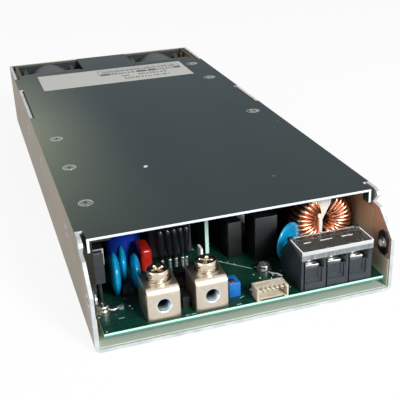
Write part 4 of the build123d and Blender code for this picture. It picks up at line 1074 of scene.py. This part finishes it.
def make_cover_highlights():
    """Painted highlights along the moulded edges of the clear cover's plate, and along a shallow step over
    each screw.
    """
    low, high = node_box("input_clear_cover")
    back = node_box("input_clear_cover")[0][1] + 13.6
    top = high[2]
    x0, x1, front = low[0] + 0.05, high[0] - 0.05, low[1] + 0.05
    lines = [(x0, x1, back - 0.35, back, top - 0.45, top - 0.02),
             (x0, x0 + 0.35, front, back, top - 0.45, top - 0.02),
             (x1 - 0.35, x1, front, back, top - 0.45, top - 0.02)]
    wide, deep = x1 - x0, back - front
    for start_share, stop_share in ((0.12, 0.22), (0.355, 0.525), (0.66, 0.82)):
        lines.append((x0 + start_share * wide, x0 + stop_share * wide, front + 0.52 * deep,
                      front + 0.52 * deep + 0.4, top - 0.3, top - 0.02))
    boxes_piece("cover_highlight_lines", lines, clear_edge_highlight, body_of_node["input_clear_cover"])


silk_ink = moulded("silk_ink", "#8fb5a4", "#a9c9ba", 0.6)
make_board_details()
make_lug_tails()
make_lid_rim_highlights()
make_label_print()
make_lip_marks()
make_cover_highlights()

# %% [markdown]
# ## Floor and light
# A pale floor and plain soft light. The floor shows white to the camera and in reflections, and
# keeps a tenth of the object's shadow.

# %% Floor
def make_floor():
    size = 6.0
    mesh = bpy.data.meshes.new("floor")
    half = size / 2
    mesh.from_pydata([(-half, -half, 0), (half, -half, 0), (half, half, 0), (-half, half, 0)], [],
                     [(0, 1, 2, 3)])
    floor = bpy.data.objects.new("floor", mesh)
    bpy.context.scene.collection.objects.link(floor)
    floor.location.z = -0.0002
    material = bpy.data.materials.new("white_floor")
    material.use_nodes = True
    tree = material.node_tree
    tree.nodes.clear()
    path = add(tree, "LightPath")
    seen = maths(tree, "MAXIMUM", path.outputs["Is Camera Ray"], path.outputs["Is Glossy Ray"])
    seen = maths(tree, "MAXIMUM", seen, path.outputs["Is Transmission Ray"])
    plain = add(tree, "BsdfDiffuse", {"Color": (0.85, 0.85, 0.85, 1)})
    white = add(tree, "Emission", {"Color": (1, 1, 1, 1), "Strength": 1.0})
    share = maths(tree, "MULTIPLY", seen, 0.9)
    both = add(tree, "MixShader", {0: share, 1: plain.outputs[0], 2: white.outputs[0]})
    out = tree.nodes.new("ShaderNodeOutputMaterial")
    tree.links.new(both.outputs[0], out.inputs[0])
    mesh.materials.append(material)
    return floor


make_floor()


def area_light(name, place, target, size, power, colour="#ffffff"):
    """A square soft light at a place in metres, aimed at a target."""
    lamp = bpy.data.lights.new(name, "AREA")
    lamp.size = size
    lamp.energy = power
    lamp.color = linear(colour)[:3]
    light = bpy.data.objects.new(name, lamp)
    bpy.context.scene.collection.objects.link(light)
    light.location = place
    aim = np.array(target) - np.array(place)
    light.rotation_euler = Vector(aim.tolist()).to_track_quat("-Z", "Y").to_euler()
    return light


area_light("key_light", (0.4, -1.2, 0.7), (0, -0.1, 0.02), 0.4, 24.0)
area_light("fill_light", (-1.0, -0.3, 0.5), (0, -0.05, 0.02), 0.9, 4.0)
world = bpy.data.worlds.new("studio")
world.use_nodes = True
world.node_tree.nodes["Background"].inputs[0].default_value = (1, 1, 1, 1)
world.node_tree.nodes["Background"].inputs[1].default_value = 0.34
sky_path = add(world.node_tree, "LightPath")
seen_white = maths(world.node_tree, "MAXIMUM", sky_path.outputs["Is Camera Ray"], 0.34)
for ray in ("Is Glossy Ray", "Is Transmission Ray"):
    seen_white = maths(world.node_tree, "MAXIMUM", seen_white, sky_path.outputs[ray])
world.node_tree.links.new(seen_white, world.node_tree.nodes["Background"].inputs[1])
bpy.context.scene.world = world
bpy.context.scene.view_settings.view_transform = "Standard"
